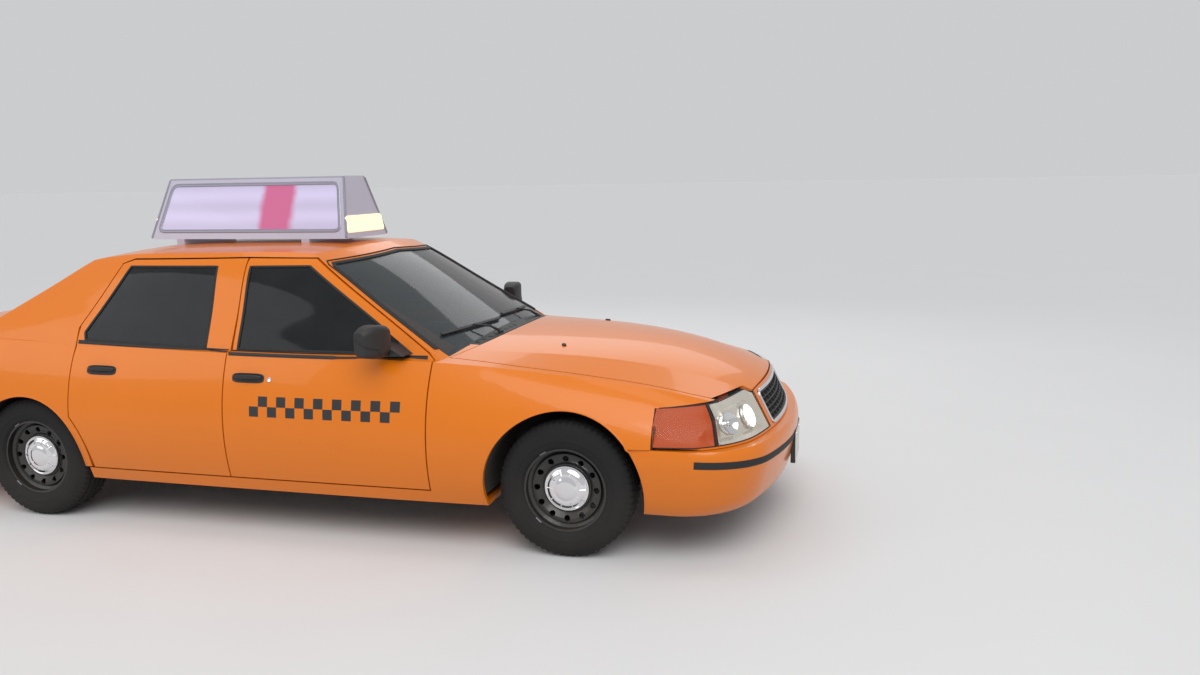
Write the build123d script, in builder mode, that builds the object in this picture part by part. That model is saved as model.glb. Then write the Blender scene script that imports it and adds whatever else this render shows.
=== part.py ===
"""Four-door saloon taxi cab with a lit roof sign, as an assembly of separate panels, doors, wheels and inner pieces.

Frame: +X to the nose, +Y to the left, +Z up. Origin on the ground, midway between the bumpers. Millimetres.
"""
import os

from build123d import *

# Overall sizes
WHEELBASE = 3066.0
FRONT_OVERHANG = 1040.0
REAR_OVERHANG = 1431.0
NOSE_X = (WHEELBASE + FRONT_OVERHANG + REAR_OVERHANG) / 2
TAIL_X = -NOSE_X
FRONT_AXLE_X = NOSE_X - FRONT_OVERHANG
REAR_AXLE_X = FRONT_AXLE_X - WHEELBASE
FRONT_TRACK = 1610.0
REAR_TRACK = 1666.0
OUTSIDE_Y = 1200.0

# Wheels
TYRE_RADIUS = 338.0
TYRE_WIDTH = 225.0
TREAD_HALF = 92.0
TREAD_WALL = 20.0
WALL_BEND_RADIUS = 284.0
BEAD_HEEL = 82.0
BEAD_TOE = 62.0
RIM_RADIUS = 203.0
RIM_WIDTH = 190.0
RIM_WALL = 7.0
RIM_LIP = 12.0
RIM_DROP = 26.0
DISC_FACE_Y = 42.0
DISC_WALL = 9.0
DISC_RADIUS = 100.0
HUB_RADIUS = 80.0
HUB_LENGTH = 46.0
CAP_RADIUS = 34.0
CAP_LENGTH = 26.0
VENT_COUNT = 12
VENT_RADIUS = 15.0
VENT_RING_RADIUS = 150.0
STUB_RADIUS = 30.0
RUNNING_FIT = 0.05
AXLE_Z = TYRE_RADIUS
KINGPIN_Y = 700.0

# Panels and gaps
SKIN = 18.0
DOOR_THICKNESS = 100.0
FRAME_THICKNESS = 46.0
PANEL_GAP = 7.0
DOOR_STEP = 10.0
RING_WALL = 40.0
DOOR_OVERLAP = 32.0
SEAT_FIT = 0.3
GLASS = 5.0
GLASS_DEPTH = 4.0

# Side view lines
DOOR_FRONT_X = 1050.0
DOOR_SPLIT_X = -73.0
DOOR_REAR_X = -1030.0
DOOR_BOTTOM_Z = 315.0
SILL_BOTTOM_Z = 245.0
DOOR_TOP_Z = 1424.0
WINDOW_TOP_Z = 1384.0
FRONT_ARCH_RADIUS = 394.0
REAR_ARCH_RADIUS = 354.0
REAR_LIP = 40.0
BUMPER_SEAM_Z = 573.0

# Lower body, one row per station from tail to nose
HULL = (
    # x, z_bottom, y_bottom, z_wide, y_wide, z_shoulder, y_shoulder, z_crease, y_crease, z_crown
    (-2820, 320, 740, 640, 830, 900, 730, 950, 560, 965),
    (-2250, 285, 885, 620, 958, 972, 832, 1022, 650, 1040),
    (-1338, 250, 928, 600, 990, 985, 880, 1040, 700, 1068),
    (-300, 245, 935, 570, 993, 962, 905, 985, 760, 1010),
    (700, 245, 935, 570, 990, 950, 900, 978, 740, 1010),
    (1200, 245, 928, 565, 984, 928, 850, 962, 650, 1014),
    (1728, 250, 915, 560, 972, 878, 800, 938, 575, 992),
    (2200, 262, 890, 555, 944, 812, 750, 868, 500, 925),
    (2560, 280, 830, 545, 885, 722, 690, 760, 430, 800),
    (2820, 300, 740, 540, 800, 640, 620, 670, 380, 690),
)

# Plan outline of the nose and tail, one row per height
PLAN = (
    # z, nose_x, tail_x
    (180, 2905, -2776),
    (1120, 2435, -2628),
)
PLAN_CORNER_Y = 620.0
PLAN_SAG = 92.0
PLAN_SIDE_BACK = 420.0
PLAN_SIDE_Y = 940.0
TAIL_CORNER_Y = 640.0
TAIL_SAG = 70.0
TAIL_SIDE_BACK = 330.0
TAIL_SIDE_Y = 935.0
PLAN_WIDE_Y = 1010.0

# Upper body, one row per height
CABIN = (
    # z, front_corner_x, front_corner_y, front_bulge, side_y, rear_corner_x, rear_corner_y, rear_bulge
    (880, 1171, 857, 218, 908, -1784, 872, 107),
    (1160, 739, 742, 180, 792, -1522, 753, 92),
    (1385, 392, 650, 150, 697, -1150, 625, 70),
    (1440, 300, 612, 135, 655, -1050, 592, 62),
    (1500, 170, 540, 115, 560, -900, 520, 50),
)
CABIN_MID_X = -150.0
PILLAR_SLOPE = 1.55

# Roof crown, one row per station
ROOF = (
    # x, z_centre, z_at_half_width
    (1500, 1160, 1110),
    (560, 1440, 1398),
    (300, 1478, 1438),
    (-250, 1487, 1450),
    (-800, 1476, 1438),
    (-1150, 1432, 1392),
    (-2100, 1190, 1140),
)
ROOF_HALF_WIDTH = 700.0

# Outer face of the doors, used to bevel their rear edges, one row per height
DOOR_FACE = (
    # z, y
    (200, 930),
    (570, 993),
    (950, 902),
    (1160, 792),
    (1500, 640),
)
BEVEL = 0.42
BEVEL_DEPTH = 160.0

# Hinge lines of the doors, and the round space that each front edge sweeps inside them, one row per height
HINGE_BACK = 42.0
HINGE_Y = 981.0
FRONT_SWEEP = (
    # z, radius
    (DOOR_BOTTOM_Z - 5, 127),
    (450, 124),
    (567, 110),
    (700, 127),
    (800, 167),
    (850, 199),
    (884, 226),
)
PILLAR_SWEEP = (
    # z, radius
    (DOOR_BOTTOM_Z - 5, 126),
    (450, 122),
    (567, 104),
    (700, 111),
    (800, 137),
    (850, 157),
    (884, 173),
)


def prism_y(points, low, high):
    """A side view outline in X and Z, given depth from low to high in Y."""
    with BuildPart() as form:
        with BuildSketch(Plane.XZ.offset(-low)):
            with BuildLine():
                Polyline(*points, close=True)
            make_face()
        extrude(amount=low - high)
    return form.part


def prism_z(points, low, high):
    """A plan outline in X and Y, given height from low to high in Z."""
    with BuildPart() as form:
        with BuildSketch(Plane.XY.offset(low)):
            with BuildLine():
                Polyline(*points, close=True)
            make_face()
        extrude(amount=high - low)
    return form.part


def prism_x(points, low, high):
    """A front view outline in Y and Z, given length from low to high in X."""
    with BuildPart() as form:
        with BuildSketch(Plane.YZ.offset(low)):
            with BuildLine():
                Polyline(*points, close=True)
            make_face()
        extrude(amount=high - low)
    return form.part


def block(x, y, z):
    """A block between two limits along each axis."""
    with BuildPart() as form:
        with Locations(((x[0] + x[1]) / 2, (y[0] + y[1]) / 2, (z[0] + z[1]) / 2)):
            Box(x[1] - x[0], y[1] - y[0], z[1] - z[0])
    return form.part


def drum(x, z, radius, low, high, inner_radius=None):
    """A round bar across the car from low to high in Y, coned to inner_radius at its high end."""
    with BuildPart() as form:
        with BuildSketch(Plane.XZ.offset(-low)):
            with Locations((x, z)):
                Circle(radius)
        if inner_radius is not None:
            with BuildSketch(Plane.XZ.offset(-high)):
                with Locations((x, z)):
                    Circle(inner_radius)
            loft()
        else:
            extrude(amount=low - high)
    return form.part


def hull(inset):
    """The lower body as one closed form, drawn in by inset."""
    with BuildPart() as form:
        for x, zb, yb, zw, yw, zs, ys, zc, yc, zt in HULL:
            with BuildSketch(Plane.YZ.offset(x)):
                with BuildLine():
                    bottom, wide = (yb - inset, zb + inset), (yw - inset, zw)
                    shoulder = (ys - inset, zs - inset / 2)
                    crease, crown = (yc - inset / 2, zc - inset), (0, zt - inset)
                    Line((-bottom[0], bottom[1]), bottom)
                    ThreePointArc(bottom, wide, shoulder)
                    Line(shoulder, crease)
                    ThreePointArc(crease, crown, (-crease[0], crease[1]))
                    Line((-crease[0], crease[1]), (-shoulder[0], shoulder[1]))
                    ThreePointArc((-shoulder[0], shoulder[1]), (-wide[0], wide[1]), (-bottom[0], bottom[1]))
                make_face()
        loft()
    return form.part


def nose_tail(inset):
    """The rounded nose and tail seen from above, with their lean."""
    with BuildPart() as form:
        for z, nose, tail in PLAN:
            with BuildSketch(Plane.XY.offset(z)):
                with BuildLine():
                    n, t = nose - inset, tail + inset
                    nc = (n - PLAN_SAG, PLAN_CORNER_Y)
                    ns = (n - PLAN_SIDE_BACK, PLAN_SIDE_Y - inset)
                    tc = (t + TAIL_SAG, TAIL_CORNER_Y)
                    ts = (t + TAIL_SIDE_BACK, TAIL_SIDE_Y - inset)
                    wide = PLAN_WIDE_Y - inset
                    front = ThreePointArc((nc[0], -nc[1]), (n, 0), nc)
                    TangentArc(nc, ns, tangent=front % 1)
                    Line(ns, (FRONT_AXLE_X, wide))
                    Line((FRONT_AXLE_X, wide), (REAR_AXLE_X, wide))
                    Line((REAR_AXLE_X, wide), ts)
                    rear = ThreePointArc(tc, (t, 0), (tc[0], -tc[1]))
                    TangentArc(tc, ts, tangent=-(rear % 0))
                    TangentArc((tc[0], -tc[1]), (ts[0], -ts[1]), tangent=rear % 1)
                    Line((ts[0], -ts[1]), (REAR_AXLE_X, -wide))
                    Line((REAR_AXLE_X, -wide), (FRONT_AXLE_X, -wide))
                    Line((FRONT_AXLE_X, -wide), (ns[0], -ns[1]))
                    TangentArc((nc[0], -nc[1]), (ns[0], -ns[1]), tangent=-(front % 0))
                make_face()
        loft(ruled=True)
    return form.part


def body(inset):
    """Lower body with its nose and tail, drawn in by inset."""
    with BuildPart() as form:
        add(hull(inset))
        add(nose_tail(inset), mode=Mode.INTERSECT)
    return form.part


def cabin(inset):
    """Upper body from the belt to the roof, drawn in by inset."""
    with BuildPart() as form:
        for z, fx, fy, fb, sy, rx, ry, rb in CABIN:
            with BuildSketch(Plane.XY.offset(z)):
                with BuildLine():
                    front = (fx - 1.8 * inset, fy - inset)
                    rear = (rx + 1.6 * inset, ry - inset)
                    side = (CABIN_MID_X, sy - 1.05 * inset)
                    ThreePointArc((front[0], -front[1]), (front[0] + fb, 0), front)
                    ThreePointArc(front, side, rear)
                    ThreePointArc(rear, (rear[0] - rb, 0), (rear[0], -rear[1]))
                    ThreePointArc((rear[0], -rear[1]), (side[0], -side[1]), (front[0], -front[1]))
                make_face()
        loft()
        with BuildPart(mode=Mode.INTERSECT):
            for x, zc, ze in ROOF:
                with BuildSketch(Plane.YZ.offset(x)):
                    with BuildLine():
                        edge = (ROOF_HALF_WIDTH, ze - inset)
                        ThreePointArc((-edge[0], edge[1]), (0, zc - inset), edge)
                        Polyline(edge, (1000, ze - inset - 40), (1000, 800), (-1000, 800),
                                 (-1000, ze - inset - 40), (-edge[0], edge[1]))
                    make_face()
            loft()
    return form.part


def both(part):
    """A right-hand piece and its mirror image on the left, as one."""
    with BuildPart() as form:
        add(part)
        mirror(part, about=Plane.XZ)
    return form.part


def cut(part, *tools):
    """What is left of a part once each tool is taken away."""
    for tool in tools:
        part = part - tool
    return part


def within(part, *tools):
    """What a part and every tool share."""
    for tool in tools:
        part = part & tool
    return part


def largest(part):
    """The biggest solid of a part, without the slivers that its cuts leave."""
    return part.solids().sort_by(SortBy.VOLUME)[-1]


def rear_bevel(x):
    """The wedge that a door swings out through at its rear edge, on the right."""
    with BuildPart() as form:
        for z, y in DOOR_FACE:
            with BuildSketch(Plane.XY.offset(z)):
                Polygon((x - 400, -y - 60), (x, -y - 60), (x, -y), (x + BEVEL * BEVEL_DEPTH, -y + BEVEL_DEPTH),
                        (x + BEVEL * BEVEL_DEPTH, -y + BEVEL_DEPTH + 160), (x - 400, -y + BEVEL_DEPTH + 160),
                        align=None)
        loft(ruled=True)
    return form.part


def hinge_sweep(x, rows):
    """The round space about a door's hinge line that its front edge needs, on the right."""
    with BuildPart() as form:
        for z, radius in rows:
            with BuildSketch(Plane.XY.offset(z)):
                with Locations((x, -HINGE_Y)):
                    Circle(radius)
        loft(ruled=True)
    return form.part


OUTER = body(0)
INNER = body(SKIN)
DEEP = body(DOOR_THICKNESS)
RING_OUT = body(DOOR_THICKNESS + DOOR_STEP)
RING_IN = body(DOOR_THICKNESS + DOOR_STEP + RING_WALL)
CABIN_OUTER = cabin(0)
CABIN_SKIN = cabin(SKIN)
CABIN_FRAME = cabin(FRAME_THICKNESS)
CABIN_RING_OUT = cabin(FRAME_THICKNESS + DOOR_STEP)
CABIN_RING_IN = cabin(FRAME_THICKNESS + DOOR_STEP + RING_WALL)
GLASS_OUT = cabin(GLASS_DEPTH)
GLASS_IN = cabin(GLASS_DEPTH + GLASS)

SKIN_SHELL = OUTER - INNER
CABIN_SHELL = CABIN_OUTER - CABIN_FRAME
ROOF_SHELL = CABIN_OUTER - CABIN_SKIN
GLASS_SHELL = GLASS_OUT - GLASS_IN

# Wheel arches
FRONT_ARCH = drum(FRONT_AXLE_X, AXLE_Z, FRONT_ARCH_RADIUS, -OUTSIDE_Y, -560)
REAR_ARCH = drum(REAR_AXLE_X, AXLE_Z, REAR_ARCH_RADIUS, -OUTSIDE_Y, -660)
REAR_LIP_DRUM = drum(REAR_AXLE_X, AXLE_Z, REAR_ARCH_RADIUS + REAR_LIP, -OUTSIDE_Y, -600)
REAR_DOOR_ARCH = drum(REAR_AXLE_X, AXLE_Z, REAR_ARCH_RADIUS + REAR_LIP + PANEL_GAP - 60, -OUTSIDE_Y, -740,
                      REAR_ARCH_RADIUS + REAR_LIP + PANEL_GAP + 75)

# Bonnet, seen from above
BONNET_REAR_X = 1112.0
BONNET_REAR_SAG = 150.0
BONNET_FRONT_X = 2505.0
BONNET_FRONT_SAG = 98.0
BONNET_EDGE = (
    # x, half_width
    (1478, 778),
    (1876, 752),
    (2300, 708),
)
BONNET_REAR_Y = 776.0
BONNET_FRONT_Y = 660.0


def bonnet_outline(grow, low, high):
    """The bonnet's plan outline, grown by a gap, between two heights."""
    with BuildPart() as form:
        with BuildSketch(Plane.XY.offset(low)):
            with BuildLine():
                rear = (BONNET_REAR_X - grow, BONNET_REAR_Y + grow)
                front = (BONNET_FRONT_X + grow, BONNET_FRONT_Y + grow)
                left = [rear] + [(x, y + grow) for x, y in BONNET_EDGE] + [front]
                right = [(x, -y) for x, y in left]
                ThreePointArc(right[0], (rear[0] + BONNET_REAR_SAG, 0), left[0])
                Polyline(*left)
                ThreePointArc(left[-1], (front[0] + BONNET_FRONT_SAG, 0), right[-1])
                Polyline(*reversed(right))
            make_face()
        extrude(amount=high - low)
    return form.part


# Headlamps and grille, as the seams around them
LAMP_REAR_X = 2158.0
LAMP_LOW_Z = BUMPER_SEAM_Z + 8
LAMP_TOP_REAR_Z = 752.0
LAMP_TOP_FRONT_Z = 776.0
LAMP_INNER_Y = 415.0
LAMP_DEPTH = 60.0
PANEL_WALL = 30.0
GRILLE_HALF_WIDTH = 375.0
GRILLE_LOW_Z = BUMPER_SEAM_Z + 12
GRILLE_TOP_Z = 748.0
LAMP_ZONE = prism_y([(LAMP_REAR_X + 3, LAMP_LOW_Z), (LAMP_REAR_X + 3, LAMP_TOP_REAR_Z - 3),
                     (2560, LAMP_TOP_FRONT_Z), (2900, LAMP_TOP_FRONT_Z), (2900, LAMP_LOW_Z)],
                    -OUTSIDE_Y, -LAMP_INNER_Y)
BONNET_ZONE = bonnet_outline(0, GRILLE_TOP_Z + PANEL_GAP, 1100)
BONNET_HOLE = bonnet_outline(PANEL_GAP, 640, 1200)
with BuildPart() as bonnet:
    add(within(SKIN_SHELL, BONNET_ZONE))
    add(CABIN_OUTER, mode=Mode.SUBTRACT)
    add(both(LAMP_ZONE.moved(Location((0, PANEL_GAP, PANEL_GAP)))), mode=Mode.SUBTRACT)
bonnet.part.label = "bonnet"

# Front wings
WING_OUTLINE = [
    (DOOR_FRONT_X + PANEL_GAP, SILL_BOTTOM_Z - 10), (DOOR_FRONT_X + PANEL_GAP, 1100), (2560, 1100),
    (2560, LAMP_TOP_FRONT_Z + 8), (LAMP_REAR_X, LAMP_TOP_REAR_Z), (LAMP_REAR_X, BUMPER_SEAM_Z),
    (FRONT_AXLE_X, BUMPER_SEAM_Z), (FRONT_AXLE_X, SILL_BOTTOM_Z - 10),
]
WING_ZONE = prism_y(WING_OUTLINE, -OUTSIDE_Y, -560)
RIGHT_WING = cut(within(SKIN_SHELL, WING_ZONE), BONNET_HOLE, CABIN_OUTER, FRONT_ARCH)
with BuildPart() as wing_right:
    add(RIGHT_WING)
wing_right.part.label = "wing_right"
with BuildPart() as wing_left:
    mirror(RIGHT_WING, about=Plane.XZ)
wing_left.part.label = "wing_left"

# Headlamps and the front panel that carries them and the grille
NOSE_FORM = within(OUTER, block((LAMP_REAR_X, 2950), (-OUTSIDE_Y, OUTSIDE_Y), (BUMPER_SEAM_Z, 1000)))
LAMP_BACK = within(body(LAMP_DEPTH), block((LAMP_REAR_X - 50, 2950), (-OUTSIDE_Y, OUTSIDE_Y), (400, 1100)))
PANEL_BACK = within(body(LAMP_DEPTH + PANEL_WALL), block((LAMP_REAR_X - 50, 2950), (-OUTSIDE_Y, OUTSIDE_Y), (400, 1100)))
NOSE_SHELL = NOSE_FORM - LAMP_BACK
with BuildPart() as headlamps:
    add(both(within(NOSE_SHELL, LAMP_ZONE)))
headlamps.part.label = "headlamps"

GRILLE_ZONE = block((2300, 2950), (-GRILLE_HALF_WIDTH, GRILLE_HALF_WIDTH), (GRILLE_LOW_Z, GRILLE_TOP_Z))
with BuildPart() as front_panel:
    add(within(NOSE_FORM, block((LAMP_REAR_X, 2950), (-900, 900), (BUMPER_SEAM_Z, 1000))) - PANEL_BACK)
    add(BONNET_HOLE, mode=Mode.SUBTRACT)
    add(both(WING_ZONE), mode=Mode.SUBTRACT)
    add(both(LAMP_ZONE), mode=Mode.SUBTRACT)
    add(GRILLE_ZONE, mode=Mode.SUBTRACT)
front_panel.part.label = "front_panel"

# Grille: a surround with upright and level bars
GRILLE_RIM = 16.0
GRILLE_BAR = 5.0
GRILLE_LEVEL_BARS = 5
GRILLE_UPRIGHT_BARS = 11
with BuildPart() as grille:
    add(within(NOSE_SHELL, GRILLE_ZONE))
    with BuildPart(mode=Mode.SUBTRACT):
        level_pitch = (GRILLE_TOP_Z - GRILLE_LOW_Z - 2 * GRILLE_RIM) / GRILLE_LEVEL_BARS
        upright_pitch = 2 * (GRILLE_HALF_WIDTH - GRILLE_RIM) / GRILLE_UPRIGHT_BARS
        with Locations((2600, 0, (GRILLE_TOP_Z + GRILLE_LOW_Z) / 2)):
            with GridLocations(0, upright_pitch, 1, GRILLE_UPRIGHT_BARS):
                for row in range(GRILLE_LEVEL_BARS):
                    with Locations((0, 0, (row - (GRILLE_LEVEL_BARS - 1) / 2) * level_pitch)):
                        Box(700, upright_pitch - GRILLE_BAR, level_pitch - GRILLE_BAR)
grille.part.label = "grille"

# Doors
FRONT_DOOR_OUTLINE = [
    (DOOR_FRONT_X, DOOR_BOTTOM_Z), (DOOR_FRONT_X, 938), (1010, 972), (1010 - PILLAR_SLOPE * (DOOR_TOP_Z - 972), DOOR_TOP_Z),
    (DOOR_SPLIT_X + PANEL_GAP / 2, DOOR_TOP_Z + 4), (DOOR_SPLIT_X + PANEL_GAP / 2, DOOR_BOTTOM_Z),
]
SAIL_X = 850.0
SAIL_OUTLINE = [(935, 968), (SAIL_X, 968 + (935 - SAIL_X) / PILLAR_SLOPE), (SAIL_X, 969)]
FRONT_WINDOW_OUTLINE = [
    (935, 968), (935 - PILLAR_SLOPE * (WINDOW_TOP_Z - 968), WINDOW_TOP_Z), (-43, WINDOW_TOP_Z), (-32, 976), (SAIL_X, 969),
]
REAR_DOOR_OUTLINE = [
    (DOOR_SPLIT_X - PANEL_GAP / 2, DOOR_BOTTOM_Z), (DOOR_SPLIT_X - PANEL_GAP / 2, DOOR_TOP_Z + 4), (-800, DOOR_TOP_Z - 8),
    (-868, 1395), (-1036, 1060), (DOOR_REAR_X, 1000), (DOOR_REAR_X, DOOR_BOTTOM_Z),
]
REAR_WINDOW_OUTLINE = [
    (-227, 980), (-247, WINDOW_TOP_Z), (-806, WINDOW_TOP_Z - 6), (-988, 1040), (-975, 1002),
]
DOOR_INNER_Y = 740.0
DOOR_FOOT_Y = 868.0
SILL_TOP_Z = DOOR_BOTTOM_Z - PANEL_GAP
BELT_RAIL_Z = 888.0
BELT_RAIL_Y = 700.0
POST_HEAD_Y = 733.0
BELT_FLOOR_Z = 900.0
FRAME_INNER_Y = 592.0


def door(outline, window, rear_x):
    """A right-hand door: thick lower half, window frame above, glass opening cut."""
    zone = prism_y(outline, -OUTSIDE_Y, -400)
    slab = prism_x([(-OUTSIDE_Y, 200), (-DOOR_FOOT_Y, 200), (-DOOR_FOOT_Y, 560), (-DOOR_INNER_Y, 860), (-DOOR_INNER_Y, 1100),
                    (-OUTSIDE_Y, 1100)], -1200, 1200)
    lower = cut(within(OUTER, zone, slab), DEEP, CABIN_FRAME)
    frame = within(CABIN_SHELL, zone, block((-1200, 1200), (-OUTSIDE_Y, -FRAME_INNER_Y), (BELT_FLOOR_Z, 1500)))
    return cut(lower + frame, prism_y(window, -OUTSIDE_Y, -400), rear_bevel(rear_x))


def window_glass(window):
    """The pane that fills a door's window opening."""
    return within(GLASS_SHELL, prism_y(window, -OUTSIDE_Y, -400))


CORNER_SHIFT = 110.0
CORNER_SPACE = within(CABIN_FRAME.moved(Location((CORNER_SHIFT, 0, 0))), block((240, 1300), (-OUTSIDE_Y, 0), (800, 1500)))
FRONT_DOOR = cut(door(FRONT_DOOR_OUTLINE, FRONT_WINDOW_OUTLINE, DOOR_SPLIT_X + PANEL_GAP / 2), CORNER_SPACE)
REAR_REBATE = [(-785, 1450), (-795, 1397), (-846, 1380), (-1010, 1052), (-1006, 1000), (-1100, 1000), (-1100, 1450)]
REAR_DOOR = cut(door(REAR_DOOR_OUTLINE, REAR_WINDOW_OUTLINE, DOOR_REAR_X), REAR_DOOR_ARCH,
                within(CABIN_SKIN, prism_y(REAR_REBATE, -OUTSIDE_Y, -400)))
with BuildPart() as door_front_right:
    add(FRONT_DOOR)
door_front_right.part.label = "door_front_right"
with BuildPart() as door_front_left:
    mirror(FRONT_DOOR, about=Plane.XZ)
door_front_left.part.label = "door_front_left"
with BuildPart() as door_rear_right:
    add(REAR_DOOR)
door_rear_right.part.label = "door_rear_right"
with BuildPart() as door_rear_left:
    mirror(REAR_DOOR, about=Plane.XZ)
door_rear_left.part.label = "door_rear_left"

SAIL_ZONE = prism_y(SAIL_OUTLINE, -OUTSIDE_Y, -400)
FRONT_PANE = window_glass(FRONT_WINDOW_OUTLINE) - SAIL_ZONE
REAR_PANE = window_glass(REAR_WINDOW_OUTLINE)
with BuildPart() as glass_front_right:
    add(FRONT_PANE)
glass_front_right.part.label = "glass_front_right"
with BuildPart() as glass_front_left:
    mirror(FRONT_PANE, about=Plane.XZ)
glass_front_left.part.label = "glass_front_left"
with BuildPart() as glass_rear_right:
    add(REAR_PANE)
glass_rear_right.part.label = "glass_rear_right"
with BuildPart() as glass_rear_left:
    mirror(REAR_PANE, about=Plane.XZ)
glass_rear_left.part.label = "glass_rear_left"

# Rear quarters, from the rear door to the tail, with the rear pillar
LID_FRONT_X = -1740.0
LID_FRONT_SAG = 100.0
LID_SIDE_Y = 706.0
LID_REAR_SIDE_Y = 668.0
LID_TAIL_X = -2520.0
LID_TAIL_HALF_WIDTH = 430.0
LID_TAIL_LOW_Z = 640.0
TAIL_LAMP_FRONT_X = -2480.0
TAIL_LAMP_LOW_Z = 650.0
TAIL_LAMP_TOP_Z = 862.0
TAIL_BUMPER_SEAM_Z = 620.0
QUARTER_TOP_Z = 1395.0
QUARTER_INNER_Y = 560.0
TAIL_FLOOR_Z = 470.0
TAIL_WALL = 16.0


def lid_zone(grow):
    """The boot lid's plan outline with its drop between the tail lamps, grown by a gap."""
    with BuildPart() as form:
        with BuildSketch(Plane.XY.offset(TAIL_LAMP_TOP_Z + 10 - grow)):
            with BuildLine():
                front = (LID_FRONT_X + grow, LID_SIDE_Y + grow)
                rear = (-3000, LID_REAR_SIDE_Y + grow)
                ThreePointArc((front[0], -front[1]), (front[0] - LID_FRONT_SAG, 0), front)
                Polyline(front, rear, (rear[0], -rear[1]), (front[0], -front[1]))
            make_face()
        extrude(amount=400)
        add(block((-3000, LID_TAIL_X + grow), (-LID_TAIL_HALF_WIDTH - grow, LID_TAIL_HALF_WIDTH + grow),
                  (LID_TAIL_LOW_Z - grow, 1000)))
    return form.part


LID_HOLE = lid_zone(PANEL_GAP)
with BuildPart() as boot_lid:
    add(within(SKIN_SHELL, lid_zone(0)))
    add(CABIN_OUTER, mode=Mode.SUBTRACT)
boot_lid.part.label = "boot_lid"

TAIL_LAMP_ZONE = block((-3000, TAIL_LAMP_FRONT_X), (-OUTSIDE_Y, -LID_TAIL_HALF_WIDTH - PANEL_GAP - 3),
                       (TAIL_LAMP_LOW_Z, TAIL_LAMP_TOP_Z))
TAIL_FORM = nose_tail(LAMP_DEPTH)
with BuildPart() as tail_lamps:
    add(both(within(OUTER, TAIL_LAMP_ZONE) - TAIL_FORM))
tail_lamps.part.label = "tail_lamps"

LIP_ZONE = prism_y([(-880, SILL_BOTTOM_Z + 70), (-880, 760), (-1400, 760), (-1400, SILL_BOTTOM_Z + 70)],
                      -OUTSIDE_Y, -600)
QUARTER_SIDE = prism_y([(DOOR_REAR_X - PANEL_GAP, 1000), (DOOR_REAR_X - PANEL_GAP, 300), (REAR_AXLE_X, 300),
                        (REAR_AXLE_X, TAIL_BUMPER_SEAM_Z), (-3000, TAIL_BUMPER_SEAM_Z), (-3000, 1100), (-1036, 1100)],
                       -OUTSIDE_Y, -QUARTER_INNER_Y)
QUARTER_BACK = prism_y([(REAR_AXLE_X, SILL_BOTTOM_Z), (REAR_AXLE_X, TAIL_BUMPER_SEAM_Z + 1),
                        (-2240, TAIL_BUMPER_SEAM_Z + 1), (-2240, SILL_BOTTOM_Z)], -OUTSIDE_Y, -600)
PILLAR_ZONE = prism_y([(-1036 - PANEL_GAP, 1060), (-868 - PANEL_GAP, QUARTER_TOP_Z),
                       (-2000, QUARTER_TOP_Z), (-2000, 900), (DOOR_REAR_X - PANEL_GAP, 900), (DOOR_REAR_X - PANEL_GAP, 1000)],
                      -OUTSIDE_Y, -430)
BACKLIGHT_ZONE = prism_x([(-705, 1062), (-560, 1392), (-540, 1400), (540, 1400), (560, 1392), (705, 1062)], -2100, -700)
QUARTER_LOWER = within(SKIN_SHELL, QUARTER_SIDE + QUARTER_BACK)
QUARTER_LIP = within(SKIN_SHELL, LIP_ZONE, REAR_LIP_DRUM)
RIGHT_QUARTER = cut(cut(QUARTER_LOWER, CABIN_OUTER) + QUARTER_LIP + within(CABIN_SHELL, PILLAR_ZONE),
                    REAR_ARCH, LID_HOLE, TAIL_LAMP_ZONE, BACKLIGHT_ZONE)
RIGHT_QUARTER = cut(RIGHT_QUARTER, within(DEEP, block((-2700, -900), (-OUTSIDE_Y, 0), (200, 980))))
with BuildPart() as quarter_right:
    add(RIGHT_QUARTER)
quarter_right.part.label = "quarter_right"
with BuildPart() as quarter_left:
    mirror(RIGHT_QUARTER, about=Plane.XZ)
quarter_left.part.label = "quarter_left"

with BuildPart() as tail_panel:
    add(within(TAIL_FORM, block((-3000, -2480), (-800, 800), (TAIL_FLOOR_Z, 930))) - nose_tail(LAMP_DEPTH + TAIL_WALL))
    add(INNER, mode=Mode.INTERSECT)
tail_panel.part.label = "tail_panel"

# Roof with the front pillars, windscreen and rear window
WINDSCREEN_ZONE = prism_x([(-766, 940), (-764, 973), (-622, 1381), (-600, 1398), (0, 1424), (600, 1398), (622, 1381),
                           (764, 973), (766, 940)], 150, 1500)
ROOF_ZONE = prism_y([
    (DOOR_FRONT_X + 400, 900), (DOOR_FRONT_X + PANEL_GAP, 938), (1010 + 8, 972 + 4),
    (1018 - PILLAR_SLOPE * (DOOR_TOP_Z - 972), DOOR_TOP_Z + 6), (DOOR_SPLIT_X, DOOR_TOP_Z + 4 + PANEL_GAP),
    (-800, DOOR_TOP_Z), (-884, QUARTER_TOP_Z), (-2000, QUARTER_TOP_Z), (-2000, 1600),
    (1500, 1600), (1500, 900)], -OUTSIDE_Y, OUTSIDE_Y)
with BuildPart() as roof:
    add(within(ROOF_SHELL, ROOF_ZONE))
    add(within(CABIN_SHELL, ROOF_ZONE, block((200, 1500), (-OUTSIDE_Y, OUTSIDE_Y), (900, 1500))))
    add(OUTER, mode=Mode.SUBTRACT)
    add(WINDSCREEN_ZONE, mode=Mode.SUBTRACT)
    add(BACKLIGHT_ZONE, mode=Mode.SUBTRACT)
roof.part.label = "roof"

with BuildPart() as windscreen:
    add(within(GLASS_SHELL, WINDSCREEN_ZONE))
    add(OUTER, mode=Mode.SUBTRACT)
windscreen.part.label = "windscreen"
with BuildPart() as rear_window:
    add(within(GLASS_SHELL, BACKLIGHT_ZONE))
rear_window.part.label = "rear_window"

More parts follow.
